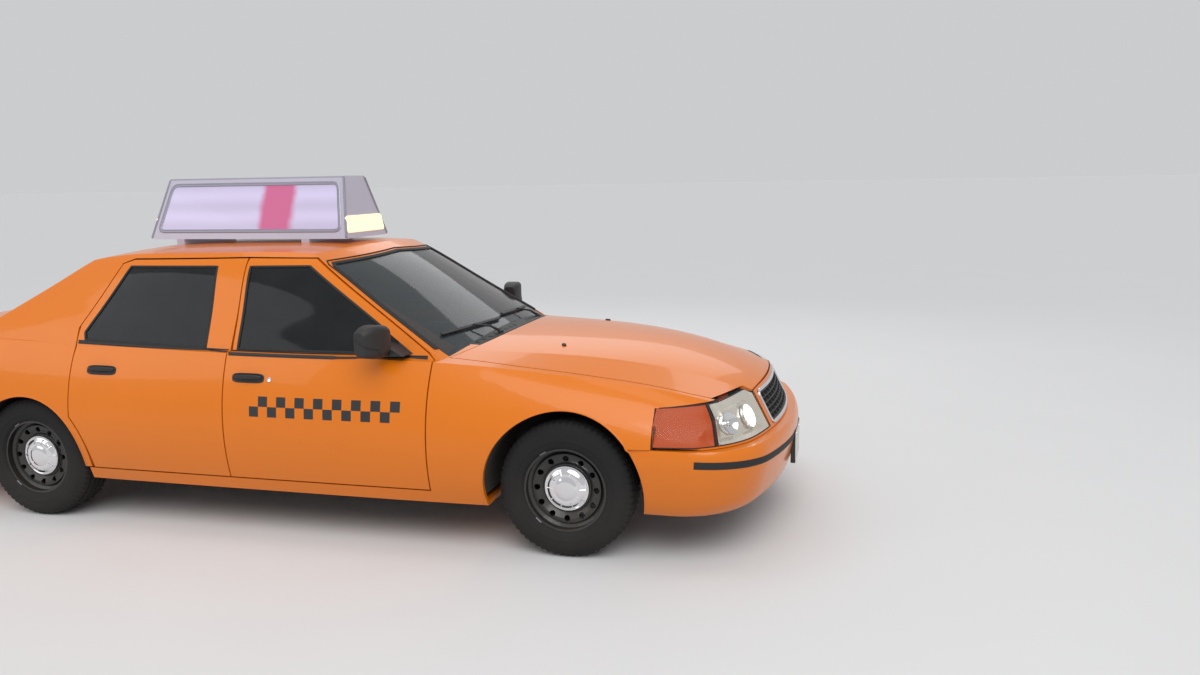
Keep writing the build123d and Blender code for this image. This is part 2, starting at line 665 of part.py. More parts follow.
# Side rings: sill, front post, centre pillar and roof rail inside the doors
RING_OUTLINE = [(DOOR_FRONT_X + 40, SILL_BOTTOM_Z - 5), (DOOR_FRONT_X + 40, 955), (1050, 985),
                (380, DOOR_TOP_Z - 12), (-780, DOOR_TOP_Z - 12), (-1060, 1060), (-1060, 800), (-900, 560), (-880, SILL_BOTTOM_Z - 5)]
FRONT_APERTURE = [(DOOR_FRONT_X - DOOR_OVERLAP - 30, DOOR_BOTTOM_Z + DOOR_OVERLAP + 20), (DOOR_FRONT_X - DOOR_OVERLAP - 30, 930),
                  (930, 960), (300, 1360), (-10, 1360), (5, 960), (5, DOOR_BOTTOM_Z + DOOR_OVERLAP + 20)]
REAR_APERTURE = [(-165, DOOR_BOTTOM_Z + DOOR_OVERLAP + 20), (-165, 960), (-200, 1360), (-780, 1355), (-960, 1050), (-985, 820),
                 (-870, 600), (-830, DOOR_BOTTOM_Z + DOOR_OVERLAP + 20)]
RING_ZONE = prism_y(RING_OUTLINE, -OUTSIDE_Y, -560)
UPPER_RING = within(CABIN_RING_OUT - CABIN_RING_IN, RING_ZONE,
                    block((-1200, 1100), (-OUTSIDE_Y, -480), (BELT_RAIL_Z, 1500)))
LOWER_RING = within(RING_OUT, RING_ZONE, block((-1200, 1100), (-OUTSIDE_Y, -700), (SILL_TOP_Z + 150, 962))) - RING_IN
SILL_WALL = within(prism_x([(-DOOR_FOOT_Y + DOOR_STEP, SILL_BOTTOM_Z), (-DOOR_FOOT_Y + DOOR_STEP, SILL_TOP_Z + 190),
                            (-DOOR_FOOT_Y + DOOR_STEP + RING_WALL, SILL_TOP_Z + 190),
                            (-DOOR_FOOT_Y + DOOR_STEP + RING_WALL, SILL_BOTTOM_Z)], -1100, 1200), RING_ZONE)
SILL = within(OUTER, block((DOOR_REAR_X + 70, DOOR_FRONT_X + PANEL_GAP), (-OUTSIDE_Y, -DOOR_FOOT_Y + DOOR_STEP),
                           (200, SILL_TOP_Z)))
BELT_RAIL = within(CABIN_RING_OUT, RING_ZONE, block((-1200, 1100), (-OUTSIDE_Y, -BELT_RAIL_Y), (BELT_RAIL_Z, BELT_RAIL_Z + 24)))
POST_HEAD = block((DOOR_FRONT_X - 62, DOOR_FRONT_X), (-POST_HEAD_Y, 10 - BELT_RAIL_Y), (840, BELT_RAIL_Z + 24))
RIGHT_RING = cut(UPPER_RING + BELT_RAIL + POST_HEAD + LOWER_RING + SILL_WALL + SILL, prism_y(FRONT_APERTURE, -OUTSIDE_Y, 0),
                 prism_y(REAR_APERTURE, -OUTSIDE_Y, 0), RIGHT_WING, hinge_sweep(DOOR_FRONT_X - HINGE_BACK, FRONT_SWEEP),
                 hinge_sweep(DOOR_SPLIT_X - PANEL_GAP / 2 - HINGE_BACK, PILLAR_SWEEP))
with BuildPart() as side_ring_right:
    add(largest(RIGHT_RING))
side_ring_right.part.label = "side_ring_right"
with BuildPart() as side_ring_left:
    mirror(largest(RIGHT_RING), about=Plane.XZ)
side_ring_left.part.label = "side_ring_left"

# Bumpers, drawn as plan outlines at several heights and hollowed from behind
FRONT_BUMPER = (
    # z, nose_x, corner_x, corner_y, side_y
    (238, 2668, 2560, 640, 870),
    (330, 2735, 2640, 650, 920),
    (440, 2760, 2668, 660, 944),
    (530, 2766, 2676, 660, 948),
    (BUMPER_SEAM_Z - 3, 2750, 2660, 655, 940),
)
REAR_BUMPER = (
    # z, tail_x, corner_x, corner_y, side_y
    (262, -2690, -2600, 660, 885),
    (350, -2752, -2670, 680, 945),
    (500, TAIL_X, -2690, 690, 962),
    (TAIL_BUMPER_SEAM_Z - 3, -2760, -2680, 685, 950),
)
BUMPER_WALL = 22.0
FRONT_BUMPER_REAR_X = 1990.0
REAR_BUMPER_FRONT_X = -1640.0


def bumper(rows, end_x, back, wall):
    """A bumper's outer form, or its hollow when wall is above nothing."""
    with BuildPart() as form:
        for z, tip_x, corner_x, corner_y, side_y in rows:
            side = 1 if tip_x > 0 else -1
            with BuildSketch(Plane.XY.offset(z)):
                with BuildLine():
                    corner = (corner_x - side * wall, corner_y)
                    bend = (corner_x - side * 330, side_y - wall)
                    end = (end_x, side_y - wall)
                    face = ThreePointArc((corner[0], -corner[1]), (tip_x - side * wall, 0), corner)
                    TangentArc(corner, bend, tangent=face % 1)
                    TangentArc((corner[0], -corner[1]), (bend[0], -bend[1]), tangent=-(face % 0))
                    Polyline(bend, end, (back, side_y - wall), (back, wall - side_y), (end[0], -end[1]), (bend[0], -bend[1]))
                make_face()
        loft()
    return form.part


def shell_bumper(rows, end_x, back):
    """A bumper as a wall of even thickness, open behind and below."""
    return cut(bumper(rows, end_x, back, 0), bumper(rows, end_x, back, BUMPER_WALL))


BOTH_FRONT_ARCHES = both(FRONT_ARCH)
BOTH_REAR_ARCHES = both(REAR_ARCH)
with BuildPart() as front_bumper:
    add(within(shell_bumper(FRONT_BUMPER, 2200, 1900), block((1900, 2900), (-OUTSIDE_Y, OUTSIDE_Y), (200, 700))))
    add(within(bumper(FRONT_BUMPER, 2200, 1900, 0), cut(block((2180, 2900), (-OUTSIDE_Y, OUTSIDE_Y),
                                                             (BUMPER_SEAM_Z - 3 - BUMPER_WALL, BUMPER_SEAM_Z - 3)),
                                                       block((2100, 2480), (-800, 800), (500, 600)))))
    add(BOTH_FRONT_ARCHES, mode=Mode.SUBTRACT)
front_bumper.part.label = "front_bumper"
with BuildPart() as rear_bumper:
    add(within(shell_bumper(REAR_BUMPER, -2240, -1700), block((-2900, -2243), (-OUTSIDE_Y, OUTSIDE_Y), (200, 700))))
    add(cut(within(bumper(REAR_BUMPER, -2240, -1700, 0), block((-2900, -2300), (-OUTSIDE_Y, OUTSIDE_Y),
                                                              (TAIL_BUMPER_SEAM_Z - 3 - BUMPER_WALL, TAIL_BUMPER_SEAM_Z - 3))),
            TAIL_FORM))
    add(BOTH_REAR_ARCHES, mode=Mode.SUBTRACT)
rear_bumper.part.label = "rear_bumper"

# Wheelhouses: round inner wings over the tyres, with a wall towards the engine bay or boot
HOUSE_WALL = 8.0
FRONT_HOUSE_INNER_Y = 520.0
REAR_HOUSE_INNER_Y = 670.0


def wheelhouse(x, radius, inner_y, low_z):
    """A half-round inner wing on the right, open below and outward, seated on the skin."""
    shape = cut(drum(x, AXLE_Z, radius + HOUSE_WALL, -OUTSIDE_Y, -inner_y),
                drum(x, AXLE_Z, radius, -OUTSIDE_Y, -inner_y - HOUSE_WALL),
                block((x - 500, x + 500), (-OUTSIDE_Y, 0), (0, low_z)))
    return within(shape, INNER)


FRONT_HOUSE = cut(wheelhouse(FRONT_AXLE_X, FRONT_ARCH_RADIUS + 4, FRONT_HOUSE_INNER_Y, 300),
                  block((FRONT_AXLE_X - 110, FRONT_AXLE_X + 110), (-600, -500), (280, 545)))
REAR_HOUSE = wheelhouse(REAR_AXLE_X, REAR_ARCH_RADIUS + REAR_LIP - HOUSE_WALL, REAR_HOUSE_INNER_Y, 380)
with BuildPart() as front_wheelhouses:
    add(both(FRONT_HOUSE))
    add(front_bumper.part, mode=Mode.SUBTRACT)
front_wheelhouses.part.label = "front_wheelhouses"
with BuildPart() as rear_wheelhouses:
    add(both(REAR_HOUSE))
rear_wheelhouses.part.label = "rear_wheelhouses"

# Floor: boot floor, seat pan, tunnel, footwells and bulkhead, folded from one sheet
FLOOR_WALL = 12.0
FLOOR_LINE = (
    # x, z
    (-2700, TAIL_FLOOR_Z), (-1900, TAIL_FLOOR_Z), (-1760, 640), (-1050, 640), (-880, 400), (-700, 290), (820, 290), (1060, 470), (1090, 900),
)
FLOOR_SIDE_Y = 860.0
TUNNEL_HALF_WIDTH = 150.0
TUNNEL_TOP_Z = 400.0
UNDERFLOOR = prism_y([(x, z + FLOOR_WALL) for x, z in FLOOR_LINE[:-1]] + [(1100, 100), (-2700, 100)], -FLOOR_SIDE_Y, FLOOR_SIDE_Y)
TUNNEL_FORM = prism_x([(-TUNNEL_HALF_WIDTH - 40, 290 + FLOOR_WALL), (-TUNNEL_HALF_WIDTH + 20, TUNNEL_TOP_Z),
                       (TUNNEL_HALF_WIDTH - 20, TUNNEL_TOP_Z), (TUNNEL_HALF_WIDTH + 40, 290 + FLOOR_WALL)], -890, 965)
FLOOR_LIMIT = within(nose_tail(LAMP_DEPTH + TAIL_WALL), INNER,
                     block((-2700, 1200), (-DOOR_FOOT_Y + DOOR_STEP + RING_WALL, DOOR_FOOT_Y - DOOR_STEP - RING_WALL), (0, 1200)))
BULKHEAD_SIDE = [(-812, 640), (-728, 850), (-700, 930), (-OUTSIDE_Y, 930), (-OUTSIDE_Y, 640)]
with BuildPart() as floor_sheet:
    top = [(x, z + FLOOR_WALL) for x, z in FLOOR_LINE]
    with BuildSketch(Plane.XZ.offset(-FLOOR_SIDE_Y)):
        with BuildLine():
            Polyline(*FLOOR_LINE, (FLOOR_LINE[-1][0] - FLOOR_WALL, FLOOR_LINE[-1][1]),
                     *[(x - (FLOOR_WALL if x > 1000 else 0), z) for x, z in reversed(top[:-1])], close=True)
        make_face()
    extrude(amount=2 * FLOOR_SIDE_Y)
    add(TUNNEL_FORM)
    add(prism_x([(-TUNNEL_HALF_WIDTH - 22, 280), (-TUNNEL_HALF_WIDTH + 32, TUNNEL_TOP_Z - FLOOR_WALL), (TUNNEL_HALF_WIDTH - 32, TUNNEL_TOP_Z - FLOOR_WALL),
                 (TUNNEL_HALF_WIDTH + 22, 280)], -900, 1000), mode=Mode.SUBTRACT)
    add(FLOOR_LIMIT, mode=Mode.INTERSECT)
    for x, radius, inner_y in ((FRONT_AXLE_X, FRONT_ARCH_RADIUS + 4 + HOUSE_WALL, FRONT_HOUSE_INNER_Y),
                               (REAR_AXLE_X, REAR_ARCH_RADIUS + REAR_LIP, REAR_HOUSE_INNER_Y)):
        add(both(drum(x, AXLE_Z, radius, -OUTSIDE_Y, -inner_y)), mode=Mode.SUBTRACT)
    add(both(prism_x(BULKHEAD_SIDE, 985, 1200)), mode=Mode.SUBTRACT)
    add(both(RIGHT_RING), mode=Mode.SUBTRACT)
with BuildPart() as floor_pan:
    add(largest(floor_sheet.part))
floor_pan.part.label = "floor_pan"

# Parcel shelf and rear bulkhead
with BuildPart() as parcel_shelf:
    add(block((-1665, -1250), (-640, 640), (985, 997)))
    add(prism_y([(-1264, 997), (-1250, 997), (-1112, 652), (-1126, 652)], -640, 640))
    add(block((-1665, -1650), (-QUARTER_INNER_Y, QUARTER_INNER_Y), (990, 1056)))
    add(within(SKIN_SHELL, block((-1900, -1640), (-QUARTER_INNER_Y, QUARTER_INNER_Y), (900, 1100))))
    add(LID_HOLE, mode=Mode.SUBTRACT)
    add(both(drum(REAR_AXLE_X, AXLE_Z, REAR_ARCH_RADIUS + REAR_LIP, -OUTSIDE_Y, -REAR_HOUSE_INNER_Y)), mode=Mode.SUBTRACT)
    add(both(RIGHT_QUARTER), mode=Mode.SUBTRACT)
    add(rear_window.part, mode=Mode.SUBTRACT)
parcel_shelf.part.label = "parcel_shelf"

# Cowl between bonnet and windscreen
with BuildPart() as cowl:
    add(within(SKIN_SHELL, block((1070, 1420), (-770, 770), (880, 1100))))
    add(BONNET_HOLE, mode=Mode.SUBTRACT)
    add(both(RIGHT_WING), mode=Mode.SUBTRACT)
    add(within(CABIN_FRAME, block((0, 1160), (-900, 900), (880, 1100))), mode=Mode.SUBTRACT)
    add(floor_pan.part, mode=Mode.SUBTRACT)
cowl.part.label = "cowl"

# Frame: two rails that rise over the axles, with crossmembers
RAIL_HEIGHT = 100.0
RAIL_WIDTH = 66.0
RAIL_LINE = (
    # x, y, z
    (2560, 430, 430), (2120, 430, 430), (1960, 430, 400), (1400, 430, 400), (1080, 480, 330), (880, 640, 225),
    (-700, 640, 225), (-900, 600, 330), (-1100, 540, 520), (-1600, 540, 520), (-1900, 540, 400), (-2560, 540, 400),
)
CROSSMEMBERS = (
    # x, length, half_width, z_low, z_high
    (FRONT_AXLE_X, 230, 400, 250, 352), (1000, 90, 500, 225, 275), (-500, 90, 640, 225, 275),
    (-1640, 80, 540, 475, 560), (2530, 60, 430, 385, 475), (-2530, 60, 540, 355, 445),
)
with BuildPart() as frame_rail:
    for x, y, z in RAIL_LINE:
        with BuildSketch(Plane.YZ.offset(x)):
            with Locations((-y, z)):
                Rectangle(RAIL_WIDTH, RAIL_HEIGHT)
    loft(ruled=True)
with BuildPart() as chassis_frame:
    add(both(frame_rail.part))
    for x, length, half_width, z_low, z_high in CROSSMEMBERS:
        add(block((x - length / 2, x + length / 2), (-half_width, half_width), (z_low, z_high)))
FRAME_FRONT_X = 880.0
FRAME_REAR_X = -700.0
with BuildPart() as frame_front:
    add(within(chassis_frame.part, block((FRAME_FRONT_X, 3000), (-800, 800), (100, 700))))
frame_front.part.label = "frame_front"
with BuildPart() as frame_middle:
    add(within(chassis_frame.part, block((FRAME_REAR_X, FRAME_FRONT_X), (-800, 800), (100, 700))))
frame_middle.part.label = "frame_middle"
with BuildPart() as frame_rear:
    add(within(chassis_frame.part, block((-3000, FRAME_REAR_X), (-800, 800), (100, 700))))
frame_rear.part.label = "frame_rear"

# Engine and gearbox, one plain block
with BuildPart() as engine:
    add(block((1330, 2060), (-300, 300), (360, 880)))
engine.part.label = "engine"

# Radiator behind the grille
with BuildPart() as radiator:
    add(block((2330, 2390), (-380, 380), (485, 780)))
radiator.part.label = "radiator"

# Front suspension arms, fixed, and the steering knuckles between their ends
KNUCKLE_LOW_Z = 212.0
KNUCKLE_TOP_Z = 496.0
KNUCKLE_WIDTH = 60.0
ARM_WALL = 24.0
ARM_HALF = 60.0
RAIL_OUTER_Y = 463.0
HUB_INNER_Y = FRONT_TRACK / 2 - 30


def arm(root_y, root_z, end_z, half):
    """A right-hand suspension arm that widens towards the frame, with a round joint at its end."""
    with BuildPart() as form:
        with BuildSketch(Plane.XY.offset(end_z)):
            with BuildLine():
                Polyline((FRONT_AXLE_X - half - 60, -root_y), (FRONT_AXLE_X - half + 25, -root_y),
                         (FRONT_AXLE_X, -KINGPIN_Y + 90), (FRONT_AXLE_X + half - 25, -root_y),
                         (FRONT_AXLE_X + half + 60, -root_y), (FRONT_AXLE_X + 34, -KINGPIN_Y),
                         (FRONT_AXLE_X - 34, -KINGPIN_Y), close=True)
            make_face()
            with Locations((FRONT_AXLE_X, -KINGPIN_Y)):
                Circle(36)
        extrude(amount=ARM_WALL)
        add(block((FRONT_AXLE_X - half - 60, FRONT_AXLE_X + half + 60), (-root_y - 22, -RAIL_OUTER_Y),
                  (min(root_z, end_z), max(root_z, end_z + ARM_WALL))))
    return form.part


LOWER_ARM = arm(470, 300, KNUCKLE_LOW_Z - SEAT_FIT - ARM_WALL, ARM_HALF)
UPPER_ARM = arm(497, 420, KNUCKLE_TOP_Z + SEAT_FIT, 30)
with BuildPart() as front_arms:
    add(both(LOWER_ARM + UPPER_ARM))
front_arms.part.label = "front_arms"

with BuildPart() as knuckle:
    with BuildSketch(Plane.XY.offset(KNUCKLE_LOW_Z)):
        with Locations((FRONT_AXLE_X, -KINGPIN_Y)):
            Circle(KNUCKLE_WIDTH / 2)
    extrude(amount=KNUCKLE_TOP_Z - KNUCKLE_LOW_Z)
    add(drum(FRONT_AXLE_X, AXLE_Z, 52, -HUB_INNER_Y + 40, -KINGPIN_Y))
    add(drum(FRONT_AXLE_X, AXLE_Z, STUB_RADIUS, -FRONT_TRACK / 2 - DISC_FACE_Y + 6, -KINGPIN_Y))
    add(block((FRONT_AXLE_X - 150, FRONT_AXLE_X), (-KINGPIN_Y - 14, -KINGPIN_Y + 14), (262, 290)))
KNUCKLE = knuckle.part
with BuildPart() as knuckle_right:
    add(KNUCKLE)
knuckle_right.part.label = "knuckle_right"
with BuildPart() as knuckle_left:
    mirror(KNUCKLE, about=Plane.XZ)
knuckle_left.part.label = "knuckle_left"

# Rear axle beam with its final drive, two trailing arms and two stub ends
AXLE_TUBE_RADIUS = 42.0
with BuildPart() as rear_axle:
    add(drum(REAR_AXLE_X, AXLE_Z, AXLE_TUBE_RADIUS, -REAR_TRACK / 2 + 55, REAR_TRACK / 2 - 55))
    add(drum(REAR_AXLE_X, AXLE_Z, STUB_RADIUS, -REAR_TRACK / 2 - DISC_FACE_Y + 6, REAR_TRACK / 2 + DISC_FACE_Y - 6))
    with Locations((REAR_AXLE_X, 0, AXLE_Z)):
        Sphere(125)
    with Locations((REAR_AXLE_X - 105, 0, AXLE_Z)):
        Cylinder(96, 60, rotation=(0, 90, 0))
    for y in (-560, 560):
        add(prism_y([(REAR_AXLE_X - 20, AXLE_Z - 60), (REAR_AXLE_X + 30, AXLE_Z - 60), (-840, 300), (-840, 352),
                     (REAR_AXLE_X + 20, AXLE_Z + 10)], y - 20, y + 20))
    add(chassis_frame.part, mode=Mode.SUBTRACT)
rear_axle.part.label = "rear_axle"
SPRING_RADIUS = 62.0
with BuildPart() as rear_springs:
    for y in (-500, 500):
        with Locations((REAR_AXLE_X, y, (AXLE_Z + 470) / 2 + 20)):
            Cylinder(SPRING_RADIUS, 92)
    add(rear_axle.part, mode=Mode.SUBTRACT)
    add(chassis_frame.part, mode=Mode.SUBTRACT)
rear_springs.part.label = "rear_springs"

# Drive shaft from the gearbox to the final drive, and the exhaust
with BuildPart() as drive_shaft:
    with Locations((-200, 0, 345)):
        Cylinder(36, 2400, rotation=(0, 90, 0))
    add(rear_axle.part, mode=Mode.SUBTRACT)
    add(chassis_frame.part, mode=Mode.SUBTRACT)
    add(block((1000, 1340), (-110, 110), (255, 378)))
    add(engine.part, mode=Mode.SUBTRACT)
    add(floor_pan.part, mode=Mode.SUBTRACT)
    add(chassis_frame.part, mode=Mode.SUBTRACT)
drive_shaft.part.label = "drive_shaft"
EXHAUST_RADIUS = 28.0
EXHAUST_LINE = ((1330, -340, 330), (1180, -340, 192), (-700, -340, 192), (-1080, -380, 240), (-1700, -380, 262), (-2450, -420, 262),
                (-2650, -420, 225))
with BuildPart() as exhaust:
    with BuildLine():
        FilletPolyline(*EXHAUST_LINE, radius=60)
    with BuildSketch(Plane(origin=EXHAUST_LINE[0], z_dir=(-1, 0, 0))):
        Circle(EXHAUST_RADIUS)
    sweep()
    with BuildSketch(Plane.YZ.offset(-2380)):
        with Locations((-410, 275)):
            Ellipse(130, 70)
    extrude(amount=520)
    add(block((1300, 1360), (-345, -300), (300, 345)))
    add(block((-2210, -2190), (-520, -480), (290, 350)))
    add(engine.part, mode=Mode.SUBTRACT)
    add(chassis_frame.part, mode=Mode.SUBTRACT)
exhaust.part.label = "exhaust"


def tyre(x, y):
    """A tyre standing on the ground: tread, sloped shoulders, side walls down to the bead on the rim, hollow inside."""
    with BuildPart() as form:
        with BuildSketch(Plane.XY):
            with BuildLine():
                Polyline((0, TYRE_RADIUS), (TREAD_HALF, TYRE_RADIUS), (TYRE_WIDTH / 2, WALL_BEND_RADIUS), (BEAD_HEEL, RIM_RADIUS),
                         (BEAD_TOE, RIM_RADIUS), (0, TYRE_RADIUS - TREAD_WALL), close=True)
            make_face()
            mirror(about=Plane.YZ)
        revolve(axis=Axis.X)
    return form.part.rotate(Axis.Z, 90).moved(Location((x, y, AXLE_Z)))


def rim(x, y, outward):
    """A pressed steel wheel: dropped rim, vented disc, hub bore and raised cap."""
    half = RIM_WIDTH / 2
    with BuildPart() as form:
        with BuildSketch(Plane.XY):
            with BuildLine():
                Polyline((-half, RIM_RADIUS + 12), (-half, RIM_RADIUS - RIM_WALL), (-half + 33, RIM_RADIUS - RIM_WALL),
                         (-half + 48, RIM_RADIUS - RIM_DROP - RIM_WALL), (half - 48, RIM_RADIUS - RIM_DROP - RIM_WALL),
                         (half - 33, RIM_RADIUS - RIM_WALL), (half, RIM_RADIUS - RIM_WALL), (half, RIM_RADIUS + 12),
                         (half - 5, RIM_RADIUS + 12), (half - RIM_LIP + 1, RIM_RADIUS), (half - 38, RIM_RADIUS),
                         (half - 53, RIM_RADIUS - RIM_DROP), (-half + 53, RIM_RADIUS - RIM_DROP), (-half + 38, RIM_RADIUS),
                         (-half + RIM_LIP - 1, RIM_RADIUS), (-half + 5, RIM_RADIUS + 12), close=True)
            make_face()
            with BuildLine():
                Polyline((DISC_FACE_Y + 10, RIM_RADIUS - RIM_DROP - 3), (DISC_FACE_Y + 22, 172), (DISC_FACE_Y + 26, 150),
                         (DISC_FACE_Y + 4, 118), (DISC_FACE_Y + 6, DISC_RADIUS), (DISC_FACE_Y, HUB_RADIUS),
                         (DISC_FACE_Y, STUB_RADIUS + RUNNING_FIT), (DISC_FACE_Y - HUB_LENGTH, STUB_RADIUS + RUNNING_FIT),
                         (DISC_FACE_Y - HUB_LENGTH, STUB_RADIUS + 26), (DISC_FACE_Y - DISC_WALL, STUB_RADIUS + 30),
                         (DISC_FACE_Y - DISC_WALL, HUB_RADIUS), (DISC_FACE_Y - 3, 104), (DISC_FACE_Y - 5, 122),
                         (DISC_FACE_Y + 17, 152), (DISC_FACE_Y + 13, 170), (DISC_FACE_Y, RIM_RADIUS - RIM_DROP - 3), close=True)
            make_face()
            with BuildLine():
                Polyline((DISC_FACE_Y - 1, STUB_RADIUS + RUNNING_FIT), (DISC_FACE_Y - 1, CAP_RADIUS + 6),
                         (DISC_FACE_Y + CAP_LENGTH, CAP_RADIUS), (DISC_FACE_Y + CAP_LENGTH + 4, CAP_RADIUS - 10),
                         (DISC_FACE_Y + CAP_LENGTH + 4, 0), (DISC_FACE_Y + CAP_LENGTH - 4, 0),
                         (DISC_FACE_Y + CAP_LENGTH - 4, STUB_RADIUS + RUNNING_FIT), close=True)
            make_face()
        revolve(axis=Axis.X)
        with Locations(Plane.YZ.offset(DISC_FACE_Y - 10)):
            with PolarLocations(VENT_RING_RADIUS, VENT_COUNT):
                Cylinder(VENT_RADIUS, 90, mode=Mode.SUBTRACT)
    return form.part.rotate(Axis.Z, 90 * outward).moved(Location((x, y, AXLE_Z)))


with BuildPart() as tyre_front_right:
    add(tyre(FRONT_AXLE_X, -FRONT_TRACK / 2))
tyre_front_right.part.label = "tyre_front_right"
with BuildPart() as tyre_front_left:
    add(tyre(FRONT_AXLE_X, FRONT_TRACK / 2))
tyre_front_left.part.label = "tyre_front_left"
with BuildPart() as tyre_rear_right:
    add(tyre(REAR_AXLE_X, -REAR_TRACK / 2))
tyre_rear_right.part.label = "tyre_rear_right"
with BuildPart() as tyre_rear_left:
    add(tyre(REAR_AXLE_X, REAR_TRACK / 2))
tyre_rear_left.part.label = "tyre_rear_left"
with BuildPart() as rim_front_right:
    add(rim(FRONT_AXLE_X, -FRONT_TRACK / 2, -1))
rim_front_right.part.label = "rim_front_right"
with BuildPart() as rim_front_left:
    add(rim(FRONT_AXLE_X, FRONT_TRACK / 2, 1))
rim_front_left.part.label = "rim_front_left"
with BuildPart() as rim_rear_right:
    add(rim(REAR_AXLE_X, -REAR_TRACK / 2, -1))
rim_rear_right.part.label = "rim_rear_right"
with BuildPart() as rim_rear_left:
    add(rim(REAR_AXLE_X, REAR_TRACK / 2, 1))
rim_rear_left.part.label = "rim_rear_left"

# Cabin: dashboard, steering column and wheel, seats
DASH_HALF_WIDTH = 655.0
with BuildPart() as dashboard:
    add(prism_y([(1084, 905), (1066, 640), (930, 560), (860, 640), (840, 780), (880, 880), (1000, 915)],
                -DASH_HALF_WIDTH, DASH_HALF_WIDTH))
    add(floor_pan.part, mode=Mode.SUBTRACT)
    add(both(RIGHT_RING), mode=Mode.SUBTRACT)
dashboard.part.label = "dashboard"

WHEEL_CENTRE = (640, 370, 810)
WHEEL_TILT = 24.0
WHEEL_RADIUS = 190.0
WHEEL_GRIP = 15.0
COLUMN_RADIUS = 30.0
WHEEL_PLANE = Plane(Location(WHEEL_CENTRE, (0, -90 + WHEEL_TILT, 0)))
with BuildPart() as steering_wheel:
    with BuildSketch(WHEEL_PLANE):
        Circle(WHEEL_RADIUS + WHEEL_GRIP)
        Circle(WHEEL_RADIUS - WHEEL_GRIP, mode=Mode.SUBTRACT)
        Rectangle(2 * WHEEL_RADIUS, 44)
        Rectangle(44, 2 * WHEEL_RADIUS)
        Circle(62)
    extrude(amount=WHEEL_GRIP, both=True)
steering_wheel.part.label = "steering_wheel"
with BuildPart() as steering_column:
    with BuildSketch(WHEEL_PLANE.offset(-WHEEL_GRIP - SEAT_FIT)):
        Circle(COLUMN_RADIUS)
    extrude(amount=-330)
    add(dashboard.part, mode=Mode.SUBTRACT)
steering_column.part.label = "steering_column"


def seat(x, y_low, y_high, back_z, legroom_z):
    """A cushion with a raked back and a head restraint."""
    with BuildPart() as form:
        with BuildSketch(Plane.XZ.offset(-y_low)):
            with BuildLine():
                cushion = [(x + 480, legroom_z), (x + 490, 545), (x + 440, 575), (x + 60, 545), (x - 60, back_z - 40),
                           (x - 100, back_z), (x - 170, back_z), (x - 200, back_z - 40), (x - 90, 470), (x - 60, legroom_z)]
                Polyline(*cushion, close=True)
            make_face()
        extrude(amount=y_low - y_high)
    return form.part


FRONT_SEAT_X = 90.0
FRONT_SEAT_Y = (200.0, 680.0)
with BuildPart() as front_seats:
    add(both(seat(FRONT_SEAT_X, -FRONT_SEAT_Y[1], -FRONT_SEAT_Y[0], 1040, 290 + FLOOR_WALL)))
    for y in (-440, 440):
        with Locations((FRONT_SEAT_X - 140, y, 1130)):
            Box(90, 250, 150)
        for pin in (-60, 60):
            with Locations((FRONT_SEAT_X - 140, y + pin, 1050)):
                Cylinder(7, 60)
    add(floor_pan.part, mode=Mode.SUBTRACT)
front_seats.part.label = "front_seats"
REAR_SEAT_X = -930.0
with BuildPart() as rear_seat:
    add(seat(REAR_SEAT_X, -640, 640, 970, 302))
    add(UNDERFLOOR, mode=Mode.SUBTRACT)
    add(TUNNEL_FORM, mode=Mode.SUBTRACT)
    add(parcel_shelf.part, mode=Mode.SUBTRACT)
    add(both(drum(REAR_AXLE_X, AXLE_Z, REAR_ARCH_RADIUS + REAR_LIP, -OUTSIDE_Y, -REAR_HOUSE_INNER_Y)), mode=Mode.SUBTRACT)
rear_seat.part.label = "rear_seat"

# Door mirrors: a foot that fills the window's front corner, an arm and a rounded head
MIRROR_HEAD = (
    # y, x, z, length, height
    (-900, 815, 1052, 76, 118),
    (-940, 812, 1055, 100, 144),
    (-1060, 796, 1056, 92, 146),
    (-1098, 788, 1056, 56, 112),
)
with BuildPart() as mirror_right:
    for y, x, z, length, height in MIRROR_HEAD:
        with BuildSketch(Plane.XZ.offset(-y)):
            with Locations((x, z)):
                RectangleRounded(length, height, 26)
    loft()
    add(prism_y([(925, 972), (SAIL_X + 1, 1012), (790, 1030), (780, 990), (SAIL_X, 970)], -925, -790))
    add(CABIN_OUTER, mode=Mode.SUBTRACT)
    add(within(CABIN_OUTER - CABIN_SKIN, SAIL_ZONE))
MIRROR = mirror_right.part
mirror_right.part.label = "mirror_right"
with BuildPart() as mirror_left:
    mirror(MIRROR, about=Plane.XZ)
mirror_left.part.label = "mirror_left"

